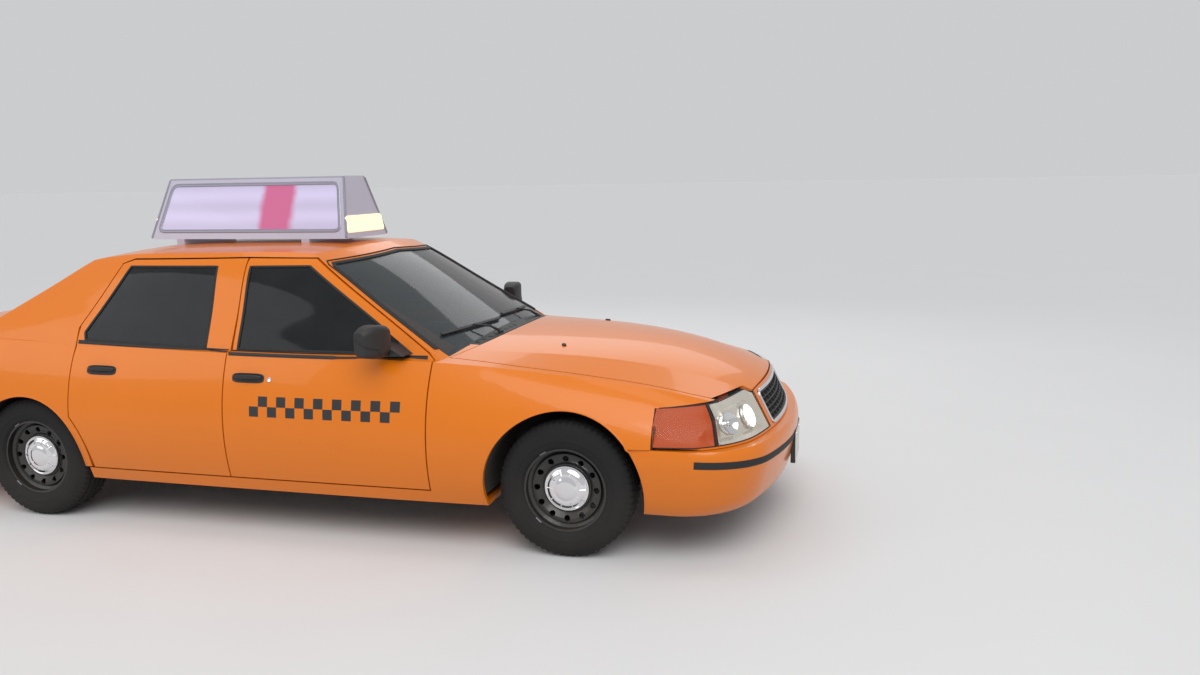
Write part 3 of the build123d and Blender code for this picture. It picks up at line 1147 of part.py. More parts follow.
# Roof sign: a lit two-sided topper on a bracket, with a lamp in its front face
SIGN_REAR_X = -1010.0
SIGN_FRONT_X = 277.0
SIGN_LOW_Z = 1505.0
SIGN_TOP_Z = 1857.0
SIGN_BASE_HALF = 250.0
SIGN_TOP_HALF = 120.0
SIGN_END_LEAN = 68.0
SIGN_PANEL = 10.0
with BuildPart() as roof_sign:
    for z, half, lean in ((SIGN_LOW_Z, SIGN_BASE_HALF, 0), (SIGN_TOP_Z, SIGN_TOP_HALF, SIGN_END_LEAN)):
        with BuildSketch(Plane.XY.offset(z)):
            with Locations(((SIGN_REAR_X + SIGN_FRONT_X) / 2, 0)):
                Rectangle(SIGN_FRONT_X - SIGN_REAR_X - 2 * lean, 2 * half)
    loft(ruled=True)
SIGN_FORM = roof_sign.part
with BuildPart() as sign_panels:
    add(within(SIGN_FORM, prism_y([(SIGN_REAR_X + 45, SIGN_LOW_Z + 45), (SIGN_REAR_X + 95, SIGN_TOP_Z - 40),
                                   (SIGN_FRONT_X - 95, SIGN_TOP_Z - 40), (SIGN_FRONT_X - 45, SIGN_LOW_Z + 45)], -300, 300)))
    with BuildPart(mode=Mode.SUBTRACT):
        for z, half in ((SIGN_LOW_Z, SIGN_BASE_HALF - SIGN_PANEL), (SIGN_TOP_Z, SIGN_TOP_HALF - SIGN_PANEL)):
            with BuildSketch(Plane.XY.offset(z)):
                with Locations(((SIGN_REAR_X + SIGN_FRONT_X) / 2, 0)):
                    Rectangle(SIGN_FRONT_X - SIGN_REAR_X, 2 * half)
        loft(ruled=True)
sign_panels.part.label = "sign_panels"
with BuildPart() as roof_sign:
    add(SIGN_FORM)
    add(sign_panels.part, mode=Mode.SUBTRACT)
    for x in (SIGN_REAR_X + 200, SIGN_FRONT_X - 260):
        add(block((x - 25, x + 25), (-SIGN_BASE_HALF, SIGN_BASE_HALF), (1440, SIGN_LOW_Z)))
    add(CABIN_OUTER, mode=Mode.SUBTRACT)
roof_sign.part.label = "roof_sign"

os.makedirs("parts", exist_ok=True)
export_step(bonnet.part, "parts/bonnet.step")
export_step(wing_right.part, "parts/wing_right.step")
export_step(wing_left.part, "parts/wing_left.step")
export_step(headlamps.part, "parts/headlamps.step")
export_step(front_panel.part, "parts/front_panel.step")
export_step(grille.part, "parts/grille.step")
export_step(door_front_right.part, "parts/door_front_right.step")
export_step(door_front_left.part, "parts/door_front_left.step")
export_step(door_rear_right.part, "parts/door_rear_right.step")
export_step(door_rear_left.part, "parts/door_rear_left.step")
export_step(glass_front_right.part, "parts/glass_front_right.step")
export_step(glass_front_left.part, "parts/glass_front_left.step")
export_step(glass_rear_right.part, "parts/glass_rear_right.step")
export_step(glass_rear_left.part, "parts/glass_rear_left.step")
export_step(boot_lid.part, "parts/boot_lid.step")
export_step(tail_lamps.part, "parts/tail_lamps.step")
export_step(quarter_right.part, "parts/quarter_right.step")
export_step(quarter_left.part, "parts/quarter_left.step")
export_step(tail_panel.part, "parts/tail_panel.step")
export_step(roof.part, "parts/roof.step")
export_step(windscreen.part, "parts/windscreen.step")
export_step(rear_window.part, "parts/rear_window.step")
export_step(side_ring_right.part, "parts/side_ring_right.step")
export_step(side_ring_left.part, "parts/side_ring_left.step")
export_step(front_bumper.part, "parts/front_bumper.step")
export_step(rear_bumper.part, "parts/rear_bumper.step")
export_step(front_wheelhouses.part, "parts/front_wheelhouses.step")
export_step(rear_wheelhouses.part, "parts/rear_wheelhouses.step")
export_step(floor_pan.part, "parts/floor_pan.step")
export_step(parcel_shelf.part, "parts/parcel_shelf.step")
export_step(cowl.part, "parts/cowl.step")
export_step(frame_front.part, "parts/frame_front.step")
export_step(frame_middle.part, "parts/frame_middle.step")
export_step(frame_rear.part, "parts/frame_rear.step")
export_step(engine.part, "parts/engine.step")
export_step(radiator.part, "parts/radiator.step")
export_step(front_arms.part, "parts/front_arms.step")
export_step(knuckle_right.part, "parts/knuckle_right.step")
export_step(knuckle_left.part, "parts/knuckle_left.step")
export_step(rear_axle.part, "parts/rear_axle.step")
export_step(rear_springs.part, "parts/rear_springs.step")
export_step(drive_shaft.part, "parts/drive_shaft.step")
export_step(exhaust.part, "parts/exhaust.step")
export_step(tyre_front_right.part, "parts/tyre_front_right.step")
export_step(tyre_front_left.part, "parts/tyre_front_left.step")
export_step(tyre_rear_right.part, "parts/tyre_rear_right.step")
export_step(tyre_rear_left.part, "parts/tyre_rear_left.step")
export_step(rim_front_right.part, "parts/rim_front_right.step")
export_step(rim_front_left.part, "parts/rim_front_left.step")
export_step(rim_rear_right.part, "parts/rim_rear_right.step")
export_step(rim_rear_left.part, "parts/rim_rear_left.step")
export_step(dashboard.part, "parts/dashboard.step")
export_step(steering_wheel.part, "parts/steering_wheel.step")
export_step(steering_column.part, "parts/steering_column.step")
export_step(front_seats.part, "parts/front_seats.step")
export_step(rear_seat.part, "parts/rear_seat.step")
export_step(mirror_right.part, "parts/mirror_right.step")
export_step(mirror_left.part, "parts/mirror_left.step")
export_step(roof_sign.part, "parts/roof_sign.step")
export_step(sign_panels.part, "parts/sign_panels.step")
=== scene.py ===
"""Looks of a four-door saloon taxi cab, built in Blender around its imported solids."""
import math

import bmesh
import bpy
from bpy.props import FloatProperty, FloatVectorProperty, IntProperty, PointerProperty
from mathutils import Matrix, Vector
from mathutils.bvhtree import BVHTree


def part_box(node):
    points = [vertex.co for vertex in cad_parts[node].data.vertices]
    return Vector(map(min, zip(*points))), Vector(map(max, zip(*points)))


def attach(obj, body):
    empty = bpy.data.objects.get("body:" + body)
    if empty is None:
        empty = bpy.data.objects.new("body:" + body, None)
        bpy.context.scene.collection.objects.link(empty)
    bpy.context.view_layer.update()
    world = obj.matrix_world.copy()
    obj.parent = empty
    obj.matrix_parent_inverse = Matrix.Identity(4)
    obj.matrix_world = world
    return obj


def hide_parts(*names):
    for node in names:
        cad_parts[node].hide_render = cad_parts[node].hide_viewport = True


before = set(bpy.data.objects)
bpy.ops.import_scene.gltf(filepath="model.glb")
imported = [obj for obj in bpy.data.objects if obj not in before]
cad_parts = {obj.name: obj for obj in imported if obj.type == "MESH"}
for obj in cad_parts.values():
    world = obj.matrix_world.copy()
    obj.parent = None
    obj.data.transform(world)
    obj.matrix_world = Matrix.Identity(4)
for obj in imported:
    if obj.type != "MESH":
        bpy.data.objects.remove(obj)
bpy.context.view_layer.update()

bl_info = {
    "name": "Taxi cab looks",
    "version": (1, 0, 0),
    "blender": (4, 5, 0),
    "location": "View3D > Sidebar > Cab",
    "description": "Paint, glass, lamps, trim, tyres and roof sign of a saloon taxi cab",
    "category": "Object",
}

AXLE_HEIGHT = 0.338
FRONT_AXLE_X = 1.7285
REAR_AXLE_X = -1.3375
SIDES = (("right", -1), ("left", 1))


# Materials

DUST_COLOUR = (0.09, 0.07, 0.05, 1)
DUST_HEIGHTS = (0.15, 0.62)
GLASS_ROUGHNESS = 0.03
BLOCK_EDGES = (
    # where the sign's plain block of colour begins and ends along the car
    (-0.25, -0.19),
    (0.04, -0.02),
)


def set_sockets(node, values):
    """Sets plain values on a shader node's own sockets."""
    for socket, value in values.items():
        node.inputs[socket].default_value = value


def add_node(nodes, kind, values):
    """A new shader node with some of its sockets set."""
    made = nodes.new(kind)
    set_sockets(made, values)
    return made


def opaque(colour, share=1.0):
    """A colour made lighter or darker by a share, with full cover."""
    return (*[min(1.0, max(0.0, value * share)) for value in colour], 1)


def new_material(name):
    """An empty node material with its output and main shader."""
    material = bpy.data.materials.new(name)
    material.use_nodes = True
    nodes = material.node_tree.nodes
    return material, nodes, material.node_tree.links, nodes["Principled BSDF"]


def finish_of(name, colour, rough, metallic=0.0, coat=0.0, grain=60.0, shift=0.08, bump=0.05, bump_scale=None,
              rough_shift=0.08, dust=0.0, glow=0.0, specular=0.5):
    """A finish with mottled colour, uneven gloss, fine bump and dust that settles low down."""
    material, nodes, links, shader = new_material(name)
    place = nodes.new("ShaderNodeTexCoord")
    broad = add_node(nodes, "ShaderNodeTexNoise", {"Scale": grain / 12, "Detail": 5})
    fine = add_node(nodes, "ShaderNodeTexNoise", {"Scale": bump_scale or grain * 6, "Detail": 3})
    for noise in (broad, fine):
        links.new(place.outputs["Object"], noise.inputs["Vector"])
    shades = {"Color1": opaque(colour, 1 - shift), "Color2": opaque(colour, 1 + shift)}
    tint = add_node(nodes, "ShaderNodeMixRGB", shades)
    links.new(broad.outputs["Fac"], tint.inputs["Fac"])
    last = tint
    if dust:
        split = nodes.new("ShaderNodeSeparateXYZ")
        links.new(place.outputs["Object"], split.inputs["Vector"])
        low, high = DUST_HEIGHTS
        fall = {"From Min": low, "From Max": high, "To Min": dust, "To Max": 0.0}
        height = add_node(nodes, "ShaderNodeMapRange", fall)
        links.new(split.outputs["Z"], height.inputs["Value"])
        patchy = nodes.new("ShaderNodeMath")
        patchy.operation = "MULTIPLY"
        links.new(height.outputs["Result"], patchy.inputs[0])
        links.new(broad.outputs["Fac"], patchy.inputs[1])
        dirt = add_node(nodes, "ShaderNodeMixRGB", {"Color2": DUST_COLOUR})
        links.new(patchy.outputs["Value"], dirt.inputs["Fac"])
        links.new(tint.outputs["Color"], dirt.inputs["Color1"])
        last = dirt
    links.new(last.outputs["Color"], shader.inputs["Base Color"])
    reach = {"To Min": max(0.02, rough - rough_shift), "To Max": min(1.0, rough + rough_shift)}
    gloss = add_node(nodes, "ShaderNodeMapRange", reach)
    links.new(broad.outputs["Fac"], gloss.inputs["Value"])
    links.new(gloss.outputs["Result"], shader.inputs["Roughness"])
    relief = add_node(nodes, "ShaderNodeBump", {"Strength": bump, "Distance": 0.001})
    links.new(fine.outputs["Fac"], relief.inputs["Height"])
    links.new(relief.outputs["Normal"], shader.inputs["Normal"])
    set_sockets(shader, {"Metallic": metallic, "Coat Weight": coat, "Coat Roughness": 0.04,
                         "Specular IOR Level": specular})
    if glow:
        links.new(last.outputs["Color"], shader.inputs["Emission Color"])
        set_sockets(shader, {"Emission Strength": glow})
    return material


def glass_of(name, colour, alpha, shine):
    """Tinted glass with a faint film of dust and a clear gloss; a near-black colour with high cover paints in
    the shade behind the glass.
    """
    material, nodes, links, shader = new_material(name)
    place = nodes.new("ShaderNodeTexCoord")
    film = add_node(nodes, "ShaderNodeTexNoise", {"Scale": 7, "Detail": 6})
    links.new(place.outputs["Object"], film.inputs["Vector"])
    dusty = [value * 1.25 + 0.01 for value in colour]
    tint = add_node(nodes, "ShaderNodeMixRGB", {"Color1": opaque(colour), "Color2": opaque(dusty)})
    links.new(film.outputs["Fac"], tint.inputs["Fac"])
    links.new(tint.outputs["Color"], shader.inputs["Base Color"])
    reach = {"To Min": GLASS_ROUGHNESS, "To Max": GLASS_ROUGHNESS + 0.04}
    gloss = add_node(nodes, "ShaderNodeMapRange", reach)
    links.new(film.outputs["Fac"], gloss.inputs["Value"])
    links.new(gloss.outputs["Result"], shader.inputs["Roughness"])
    set_sockets(shader, {"Alpha": alpha, "Specular IOR Level": shine, "Coat Weight": shine / 2,
                         "Coat Roughness": 0.02})
    return material


def sign_face(pale, block):
    """A lit sign face: a pale film over tubes, with one soft plain block of colour."""
    material, nodes, links, shader = new_material("sign_face")
    place = nodes.new("ShaderNodeTexCoord")
    split = nodes.new("ShaderNodeSeparateXYZ")
    links.new(place.outputs["Object"], split.inputs["Vector"])
    cloud = add_node(nodes, "ShaderNodeTexNoise", {"Scale": 3.0, "Detail": 4})
    links.new(place.outputs["Object"], cloud.inputs["Vector"])
    wander = nodes.new("ShaderNodeMath")
    wander.operation = "MULTIPLY_ADD"
    wander.inputs[1].default_value = 0.16
    links.new(cloud.outputs["Fac"], wander.inputs[0])
    links.new(split.outputs["X"], wander.inputs[2])
    masks = []
    for low, high in BLOCK_EDGES:
        edge = add_node(nodes, "ShaderNodeMapRange", {"From Min": low, "From Max": high})
        edge.interpolation_type = "SMOOTHSTEP"
        links.new(wander.outputs["Value"], edge.inputs["Value"])
        masks.append(edge)
    held = nodes.new("ShaderNodeMath")
    held.operation = "MULTIPLY"
    links.new(masks[0].outputs["Result"], held.inputs[0])
    links.new(masks[1].outputs["Result"], held.inputs[1])
    tubes = add_node(nodes, "ShaderNodeTexWave", {"Scale": 2.6, "Distortion": 0.6})
    tubes.bands_direction = "Z"
    links.new(place.outputs["Object"], tubes.inputs["Vector"])
    film = add_node(nodes, "ShaderNodeMixRGB", {"Color1": opaque(pale, 0.86), "Color2": opaque(pale)})
    links.new(tubes.outputs["Fac"], film.inputs["Fac"])
    print_on = add_node(nodes, "ShaderNodeMixRGB", {"Color2": opaque(block)})
    links.new(held.outputs["Value"], print_on.inputs["Fac"])
    links.new(film.outputs["Color"], print_on.inputs["Color1"])
    links.new(print_on.outputs["Color"], shader.inputs["Base Color"])
    links.new(print_on.outputs["Color"], shader.inputs["Emission Color"])
    set_sockets(shader, {"Emission Strength": 0.30, "Roughness": 0.30, "Coat Weight": 0.4})
    return material


FINISHES = {}


def mix_finishes():
    """Mixes every finish of the car once."""
    look = bpy.context.scene.cab_looks
    paint = tuple(look.paint_colour)
    FINISHES.update({
        "paint": finish_of("cab_paint", paint, 0.30, coat=0.4, grain=24, shift=0.035, bump=0.012,
                           bump_scale=900, rough_shift=0.05, dust=0.22, specular=0.3),
        "underbody": finish_of("underbody_coating", (0.030, 0.029, 0.028), 0.82, grain=90, shift=0.3,
                               bump=0.35, dust=0.7),
        "frame": finish_of("frame_paint", (0.035, 0.034, 0.034), 0.62, grain=70, shift=0.35, bump=0.2,
                           dust=0.7),
        "iron": finish_of("cast_iron", (0.12, 0.105, 0.095), 0.7, metallic=0.6, grain=80, shift=0.35,
                          bump=0.4),
        "exhaust": finish_of("exhaust_steel", (0.28, 0.25, 0.22), 0.48, metallic=0.9, grain=40, shift=0.3,
                             bump=0.15),
        "black_plastic": finish_of("black_plastic", (0.018, 0.018, 0.019), 0.55, grain=90, shift=0.2,
                                   bump=0.25, dust=0.3),
        "rubber": finish_of("seal_rubber", (0.012, 0.012, 0.013), 0.7, grain=120, shift=0.25, bump=0.15),
        "tyre": finish_of("tyre_rubber", (0.013, 0.013, 0.014), 0.86, grain=70, shift=0.3, bump=0.3,
                          dust=0.25, specular=0.3),
        "wheel": finish_of("wheel_steel", (0.012, 0.012, 0.013), 0.42, metallic=0.1, coat=0.3, grain=60,
                           shift=0.3, bump=0.1, dust=0.5),
        "chrome": finish_of("bright_chrome", (0.78, 0.78, 0.80), 0.10, metallic=1.0, grain=30, shift=0.05,
                            bump=0.01, rough_shift=0.05),
        "vinyl": finish_of("seat_vinyl", (0.035, 0.035, 0.038), 0.55, grain=160, shift=0.15, bump=0.5,
                           bump_scale=700),
        "cloth": finish_of("headliner_cloth", (0.28, 0.26, 0.23), 0.9, grain=200, shift=0.1, bump=0.5,
                           bump_scale=1500),
        "carpet": finish_of("floor_carpet", (0.03, 0.03, 0.032), 0.95, grain=300, shift=0.3, bump=0.9,
                            bump_scale=1200),
        "sign_case": finish_of("sign_case", (0.42, 0.40, 0.48), 0.35, coat=0.4, grain=30, shift=0.08,
                               bump=0.05, glow=0.12),
        "sign_edge": finish_of("sign_edge", (0.30, 0.29, 0.35), 0.3, metallic=0.6, grain=40, shift=0.1,
                               bump=0.05),
        # painted light: the metal reflector glows faintly, standing in for the bulb light it throws back
        "reflector_painted_glow": finish_of("reflector_painted_glow", (0.66, 0.62, 0.54), 0.24, metallic=1.0, grain=40, shift=0.08,
                               bump=0.1, glow=0.20),
        "lead": finish_of("balance_lead", (0.20, 0.20, 0.21), 0.5, metallic=0.8, grain=90, shift=0.2,
                          bump=0.1),
        "card_vinyl": finish_of("card_vinyl", (0.075, 0.07, 0.066), 0.6, grain=160, shift=0.15, bump=0.5,
                                bump_scale=800),
        "amber": finish_of("amber_lens", (0.46, 0.062, 0.003), 0.34, grain=40, shift=0.1, bump=0.05,
                           glow=0.08, specular=0.2),
        "red_lens": finish_of("red_lens", (0.42, 0.008, 0.01), 0.15, coat=0.8, grain=40, shift=0.15,
                              bump=0.05, glow=0.15),
        "white_lens": finish_of("white_lens", (0.75, 0.76, 0.78), 0.12, coat=0.8, grain=40, shift=0.05,
                                bump=0.03),
        "plate": finish_of("plate_blank", (0.62, 0.60, 0.52), 0.4, coat=0.2, grain=30, shift=0.05, bump=0.03),
        # painted shade: the side and rear glass is near-black and nearly opaque, standing in for the dark
        # cabin behind it
        "side_glass": glass_of("side_glass", (0.006, 0.008, 0.009), 0.88, 0.22),
        "front_glass": glass_of("windscreen_glass", (0.030, 0.038, 0.041), 0.60, 0.45),
        "lamp_glass": glass_of("lamp_glass", (0.14, 0.15, 0.16), 0.08, 0.5),
        "check_black": finish_of("check_black", (0.010, 0.010, 0.011), 0.4, coat=0.5, grain=60, shift=0.2,
                                 bump=0.02),
        "lamp_lit": finish_of("lamp_lit", (1.0, 0.90, 0.72), 0.3, grain=30, shift=0.03, bump=0.02, glow=1.6),
        "sign_glow": finish_of("sign_glow", (1.0, 0.74, 0.46), 0.35, grain=30, shift=0.1, bump=0.02,
                               glow=0.9),
        "sign_face": sign_face(tuple(look.panel_colour), tuple(look.block_colour)),
    })


NODE_FINISH = {
    "paint": ("bonnet", "boot_lid", "wing_right", "wing_left", "front_panel", "door_front_right",
              "door_front_left", "door_rear_right", "door_rear_left", "quarter_right", "quarter_left", "roof",
              "side_ring_right", "side_ring_left", "front_bumper", "rear_bumper", "parcel_shelf"),
    "underbody": ("tail_panel", "front_wheelhouses", "rear_wheelhouses", "floor_pan"),
    "frame": ("frame_front", "frame_middle", "frame_rear", "radiator", "front_arms", "rear_springs",
              "drive_shaft"),
    "iron": ("engine", "knuckle_right", "knuckle_left", "rear_axle"),
    "exhaust": ("exhaust",),
    "black_plastic": ("grille", "cowl", "dashboard", "steering_wheel", "steering_column", "mirror_right",
                      "mirror_left"),
    "tyre": ("tyre_front_right", "tyre_front_left", "tyre_rear_right", "tyre_rear_left"),
    "wheel": ("rim_front_right", "rim_front_left", "rim_rear_right", "rim_rear_left"),
    "vinyl": ("front_seats", "rear_seat"),
    "side_glass": ("glass_front_right", "glass_front_left", "glass_rear_right", "glass_rear_left",
                   "rear_window"),
    "front_glass": ("windscreen",),
    "lamp_glass": ("headlamps",),
    "red_lens": ("tail_lamps",),
    "sign_case": ("roof_sign",),
    "sign_face": ("sign_panels",),
}


class CabLooks(bpy.types.PropertyGroup):
    """Colours and sizes of the cab that can be changed by hand."""
    paint_colour: FloatVectorProperty(
        name="Paint", description="Colour of the body paint",
        subtype="COLOR", size=3, min=0, max=1, default=(0.72, 0.176, 0.002))
    floor_colour: FloatVectorProperty(
        name="Floor", description="Colour of the studio floor",
        subtype="COLOR", size=3, min=0, max=1, default=(0.74, 0.735, 0.73))
    panel_colour: FloatVectorProperty(
        name="Sign panel", description="Colour of the lit sign panels",
        subtype="COLOR", size=3, min=0, max=1, default=(0.50, 0.46, 0.64))
    block_colour: FloatVectorProperty(
        name="Sign block", description="Colour of the plain block on the sign panels",
        subtype="COLOR", size=3, min=0, max=1, default=(0.46, 0.10, 0.22))
    seal_width: FloatProperty(
        name="Seal width", description="Width of the rubber seals round the windows",
        unit="LENGTH", min=0.004, max=0.03, default=0.012)
    strip_height: FloatProperty(
        name="Bumper strip", description="Height of the black strip round the bumpers",
        unit="LENGTH", min=0.01, max=0.08, default=0.034)
    check_size: FloatProperty(
        name="Check size", description="Side of one square of the checker band on the doors",
        unit="LENGTH", min=0.02, max=0.1, default=0.052)
    tread_pitches: IntProperty(
        name="Tread pitches", description="Tread blocks round each tyre", min=24, max=96, default=64)
    cap_radius: FloatProperty(
        name="Hub cap", description="Radius of the bright hub caps",
        unit="LENGTH", min=0.06, max=0.15, default=0.112)


# Skin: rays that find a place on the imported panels

MISS_REACH = 1.2
FAR = 3.0
CORNER_STEPS = 4


def points_of(name):
    """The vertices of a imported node."""
    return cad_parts[name].data.vertices


def tree_of(*names):
    """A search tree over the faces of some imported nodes."""
    points, faces = [], []
    for name in names:
        first = len(points)
        points += [vertex.co.copy() for vertex in points_of(name)]
        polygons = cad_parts[name].data.polygons
        faces += [[first + index for index in polygon.vertices] for polygon in polygons]
    return BVHTree.FromPolygons(points, faces)


def strike(tree, origin, aim):
    """Where a ray meets the skin and the normal facing back along it, or the nearest skin if it misses."""
    origin, aim = Vector(origin), Vector(aim).normalized()
    place, normal = tree.ray_cast(origin, aim)[:2]
    if place is None:
        place, normal = tree.find_nearest(origin + aim * MISS_REACH)[:2]
    if normal.dot(aim) > 0:
        normal = -normal
    return place, normal


def along(points, step):
    """Evenly spaced points along a polyline in any number of dimensions."""
    points = [Vector(point) for point in points]
    spaced = []
    for start, end in zip(points, points[1:]):
        count = max(1, round((end - start).length / step))
        spaced += [start.lerp(end, i / count) for i in range(count)]
    return spaced + [points[-1]]


def round_along(outline, step):
    """Evenly spaced points once round a closed outline."""
    return along([*outline, outline[0]], step)[:-1]


def rounded(points, radius):
    """A flat closed outline with its corners turned into short arcs."""
    made = []
    for i, point in enumerate(points):
        here = Vector(point)
        before, after = Vector(points[i - 1]), Vector(points[(i + 1) % len(points)])
        reach = min(radius, (before - here).length * 0.45, (after - here).length * 0.45)
        start = here + (before - here).normalized() * reach
        end = here + (after - here).normalized() * reach
        for k in range(CORNER_STEPS + 1):
            t = k / CORNER_STEPS
            made.append(start * (1 - t) ** 2 + here * 2 * t * (1 - t) + end * t ** 2)
    return made


def flat_hull(points):
    """The convex outline round flat points."""
    points = sorted(set(points))
    halves = []
    for run in (points, points[::-1]):
        line = []
        for point in run:
            while len(line) > 1 and ((line[-1][0] - line[-2][0]) * (point[1] - line[-2][1])
                                     - (line[-1][1] - line[-2][1]) * (point[0] - line[-2][0])) <= 1e-7:
                line.pop()
            line.append(point)
        halves.append(line[:-1])
    return halves[0] + halves[1]


def middle_of(outline):
    """The mean of a flat outline's points."""
    return sum((Vector(point) for point in outline), Vector((0, 0))) / len(outline)


def beside(tree, x, z, side):
    """The skin's place and normal at a length and height, on one side."""
    return strike(tree, (x, side * FAR, z), (0, -side, 0))


def tilted(degrees):
    """A tilt about the line across the car."""
    return Matrix.Rotation(math.radians(degrees), 3, "Y")


def spoke_at(turn):
    """The direction of a spoke of a road wheel at a turn from straight ahead."""
    return Vector((math.cos(turn), 0, math.sin(turn)))


def sized(profile, radius):
    """A profile given in shares of a radius, at its full size."""
    return [(reach, radius * share) for reach, share in profile]


# Pieces

def piece(name, form, body, finish, sharp=34):
    """Turns a mesh form into a piece with its finish, riding on a body."""
    bmesh.ops.recalc_face_normals(form, faces=form.faces)
    mesh = bpy.data.meshes.new(name)
    form.to_mesh(mesh)
    form.free()
    made = bpy.data.objects.new(name, mesh)
    bpy.context.scene.collection.objects.link(made)
    for key in ([finish] if isinstance(finish, str) else finish):
        mesh.materials.append(FINISHES[key])
    mesh.polygons.foreach_set("use_smooth", [True] * len(mesh.polygons))
    mesh.set_sharp_from_angle(angle=math.radians(sharp))
    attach(made, body)
    return made


def rings_into(form, rings, ends=True, closed_path=False, material=0):
    """Adds a tube of faces between rings of points."""
    rows = [[form.verts.new(point) for point in ring] for ring in rings]
    count = len(rows[0])
    pairs = list(zip(rows, rows[1:])) + ([(rows[-1], rows[0])] if closed_path else [])
    for first, second in pairs:
        for i in range(count):
            j = (i + 1) % count
            form.faces.new((first[i], first[j], second[j], second[i])).material_index = material
    if ends and not closed_path:
        form.faces.new(rows[0]).material_index = material
        form.faces.new(rows[-1]).material_index = material
    return rows


def strip_into(form, skin, section, closed=False):
    """Sweeps a flat section, as pairs across and out, along points on the skin with their normals."""
    count = len(skin)
    rings = []
    for i, (place, normal) in enumerate(skin):
        before = skin[(i - 1) % count if closed else max(i - 1, 0)][0]
        after = skin[(i + 1) % count if closed else min(i + 1, count - 1)][0]
        ahead = (after - before).normalized()
        side = normal.cross(ahead).normalized()
        rings.append([place + side * across + normal * out for across, out in section])
    rings_into(form, rings, closed_path=closed)


def moulding(width, height, foot=0.0015):
    """The section of a rounded moulding."""
    half = width / 2
    return [(-half, -foot), (-half, height * 0.45), (-half * 0.72, height * 0.86), (-half * 0.3, height),
            (half * 0.3, height), (half * 0.72, height * 0.86), (half, height * 0.45), (half, -foot)]


def sheet_into(form, grid, thick=0.001, lift=0.0006, material=0):
    """A thin plate on the skin from a grid of places and normals, with its edges turned down."""
    rows = [[form.verts.new(place + normal * (lift + thick)) for place, normal in row] for row in grid]
    under = [[form.verts.new(place - normal * lift) for place, normal in row] for row in grid]
    tall, wide = len(rows), len(rows[0])
    for a in range(tall - 1):
        for b in range(wide - 1):
            corners = (rows[a][b], rows[a][b + 1], rows[a + 1][b + 1], rows[a + 1][b])
            form.faces.new(corners).material_index = material
    border = [(0, b) for b in range(wide)] + [(a, wide - 1) for a in range(1, tall)]
    border += [(tall - 1, b) for b in range(wide - 2, -1, -1)] + [(a, 0) for a in range(tall - 2, 0, -1)]
    for (a, b), (c, d) in zip(border, border[1:] + border[:1]):
        form.faces.new((rows[a][b], rows[c][d], under[c][d], under[a][b])).material_index = material


def bar_into(form, start, end, radius, sides=10, end_radius=None, material=0):
    """A round bar between two points, tapered where end_radius is given, with eased ends."""
    start, end = Vector(start), Vector(end)
    ahead = (end - start).normalized()
    across = ahead.orthogonal().normalized()
    above = ahead.cross(across)
    last = radius if end_radius is None else end_radius
    ease = min(radius, last) * 0.25
    stations = ((start, radius - ease), (start + ahead * ease, radius), (end - ahead * ease, last),
                (end, last - ease))
    rings = []
    for place, size in stations:
        ring = []
        for i in range(sides):
            turn = math.tau * i / sides
            ring.append(place + across * size * math.cos(turn) + above * size * math.sin(turn))
        rings.append(ring)
    rings_into(form, rings, material=material)


def turned_into(form, centre, axis, profile, sides=48, material=0):
    """Turns a profile of (along, radius) pairs round an axis. A radius of nothing closes the end."""
    centre, axis = Vector(centre), Vector(axis).normalized()
    across = axis.orthogonal().normalized()
    above = axis.cross(across)
    rows = []
    for reach, radius in profile:
        if radius < 1e-6:
            rows.append([form.verts.new(centre + axis * reach)])
            continue
        row = []
        for i in range(sides):
            turn = math.tau * i / sides
            spoke = across * math.cos(turn) + above * math.sin(turn)
            row.append(form.verts.new(centre + axis * reach + spoke * radius))
        rows.append(row)
    for first, second in zip(rows, rows[1:]):
        for i in range(sides):
            j = (i + 1) % sides
            corners = [first[i], first[j]] if len(first) > 1 else [first[0]]
            corners += [second[j], second[i]] if len(second) > 1 else [second[0]]
            form.faces.new(corners).material_index = material


def pad_into(form, centre, size, turn=None, power=4.0, cuts=10, shape=None, material=0):
    """A rounded block: a fine box drawn in to a soft form, then shaped point by point."""
    half = Vector(size) / 2
    box = bmesh.new()
    bmesh.ops.create_cube(box, size=2)
    bmesh.ops.subdivide_edges(box, edges=box.edges, cuts=cuts, use_grid_fill=True)
    turn = turn or Matrix.Identity(3)
    marks = {}
    for vertex in box.verts:
        point = vertex.co
        stretch = sum(abs(value) ** power for value in point) ** (1 / power)
        flat = Vector([value / stretch for value in point])
        local = Vector((flat.x * half.x, flat.y * half.y, flat.z * half.z))
        if shape:
            local = shape(local, flat)
        marks[vertex.index] = form.verts.new(Vector(centre) + turn @ local)
    for face in box.faces:
        form.faces.new([marks[vertex.index] for vertex in face.verts]).material_index = material
    box.free()


# The cab's own lines, in metres

WINDSCREEN_EDGE = ((-0.764, 0.985), (-0.622, 1.381), (-0.598, 1.399), (0, 1.425), (0.598, 1.399),
                   (0.622, 1.381), (0.764, 0.985))
SCREEN_WAIST = 1.2
PANE_INSET = 0.005
BELT_LINES = (
    # door, start, end
    ("front", (1.012, 0.950), (-0.060, 0.957)),
    ("rear", (-0.086, 0.962), (-1.018, 0.988)),
)
BELT_STRIPS = (
    # rise, width, height
    (0, 0.018, 0.005),
    (0.008, 0.005, 0.0065),
)
SCREEN_STRIPS = (
    # spread across the car, rise, width, height
    (1, 0, 0.024, 0.004),
    (1.022, 0.012, 0.007, 0.0055),
)
REAR_WINDOW_STRIPS = (
    # reach past the glass, width, height
    (0.006, 0.026, 0.004),
    (0.024, 0.006, 0.0055),
)
HANDLES = (
    # door, rear end, front end, height
    ("front", -0.020, 0.165, 0.842),
    ("rear", -0.925, -0.740, 0.850),
)
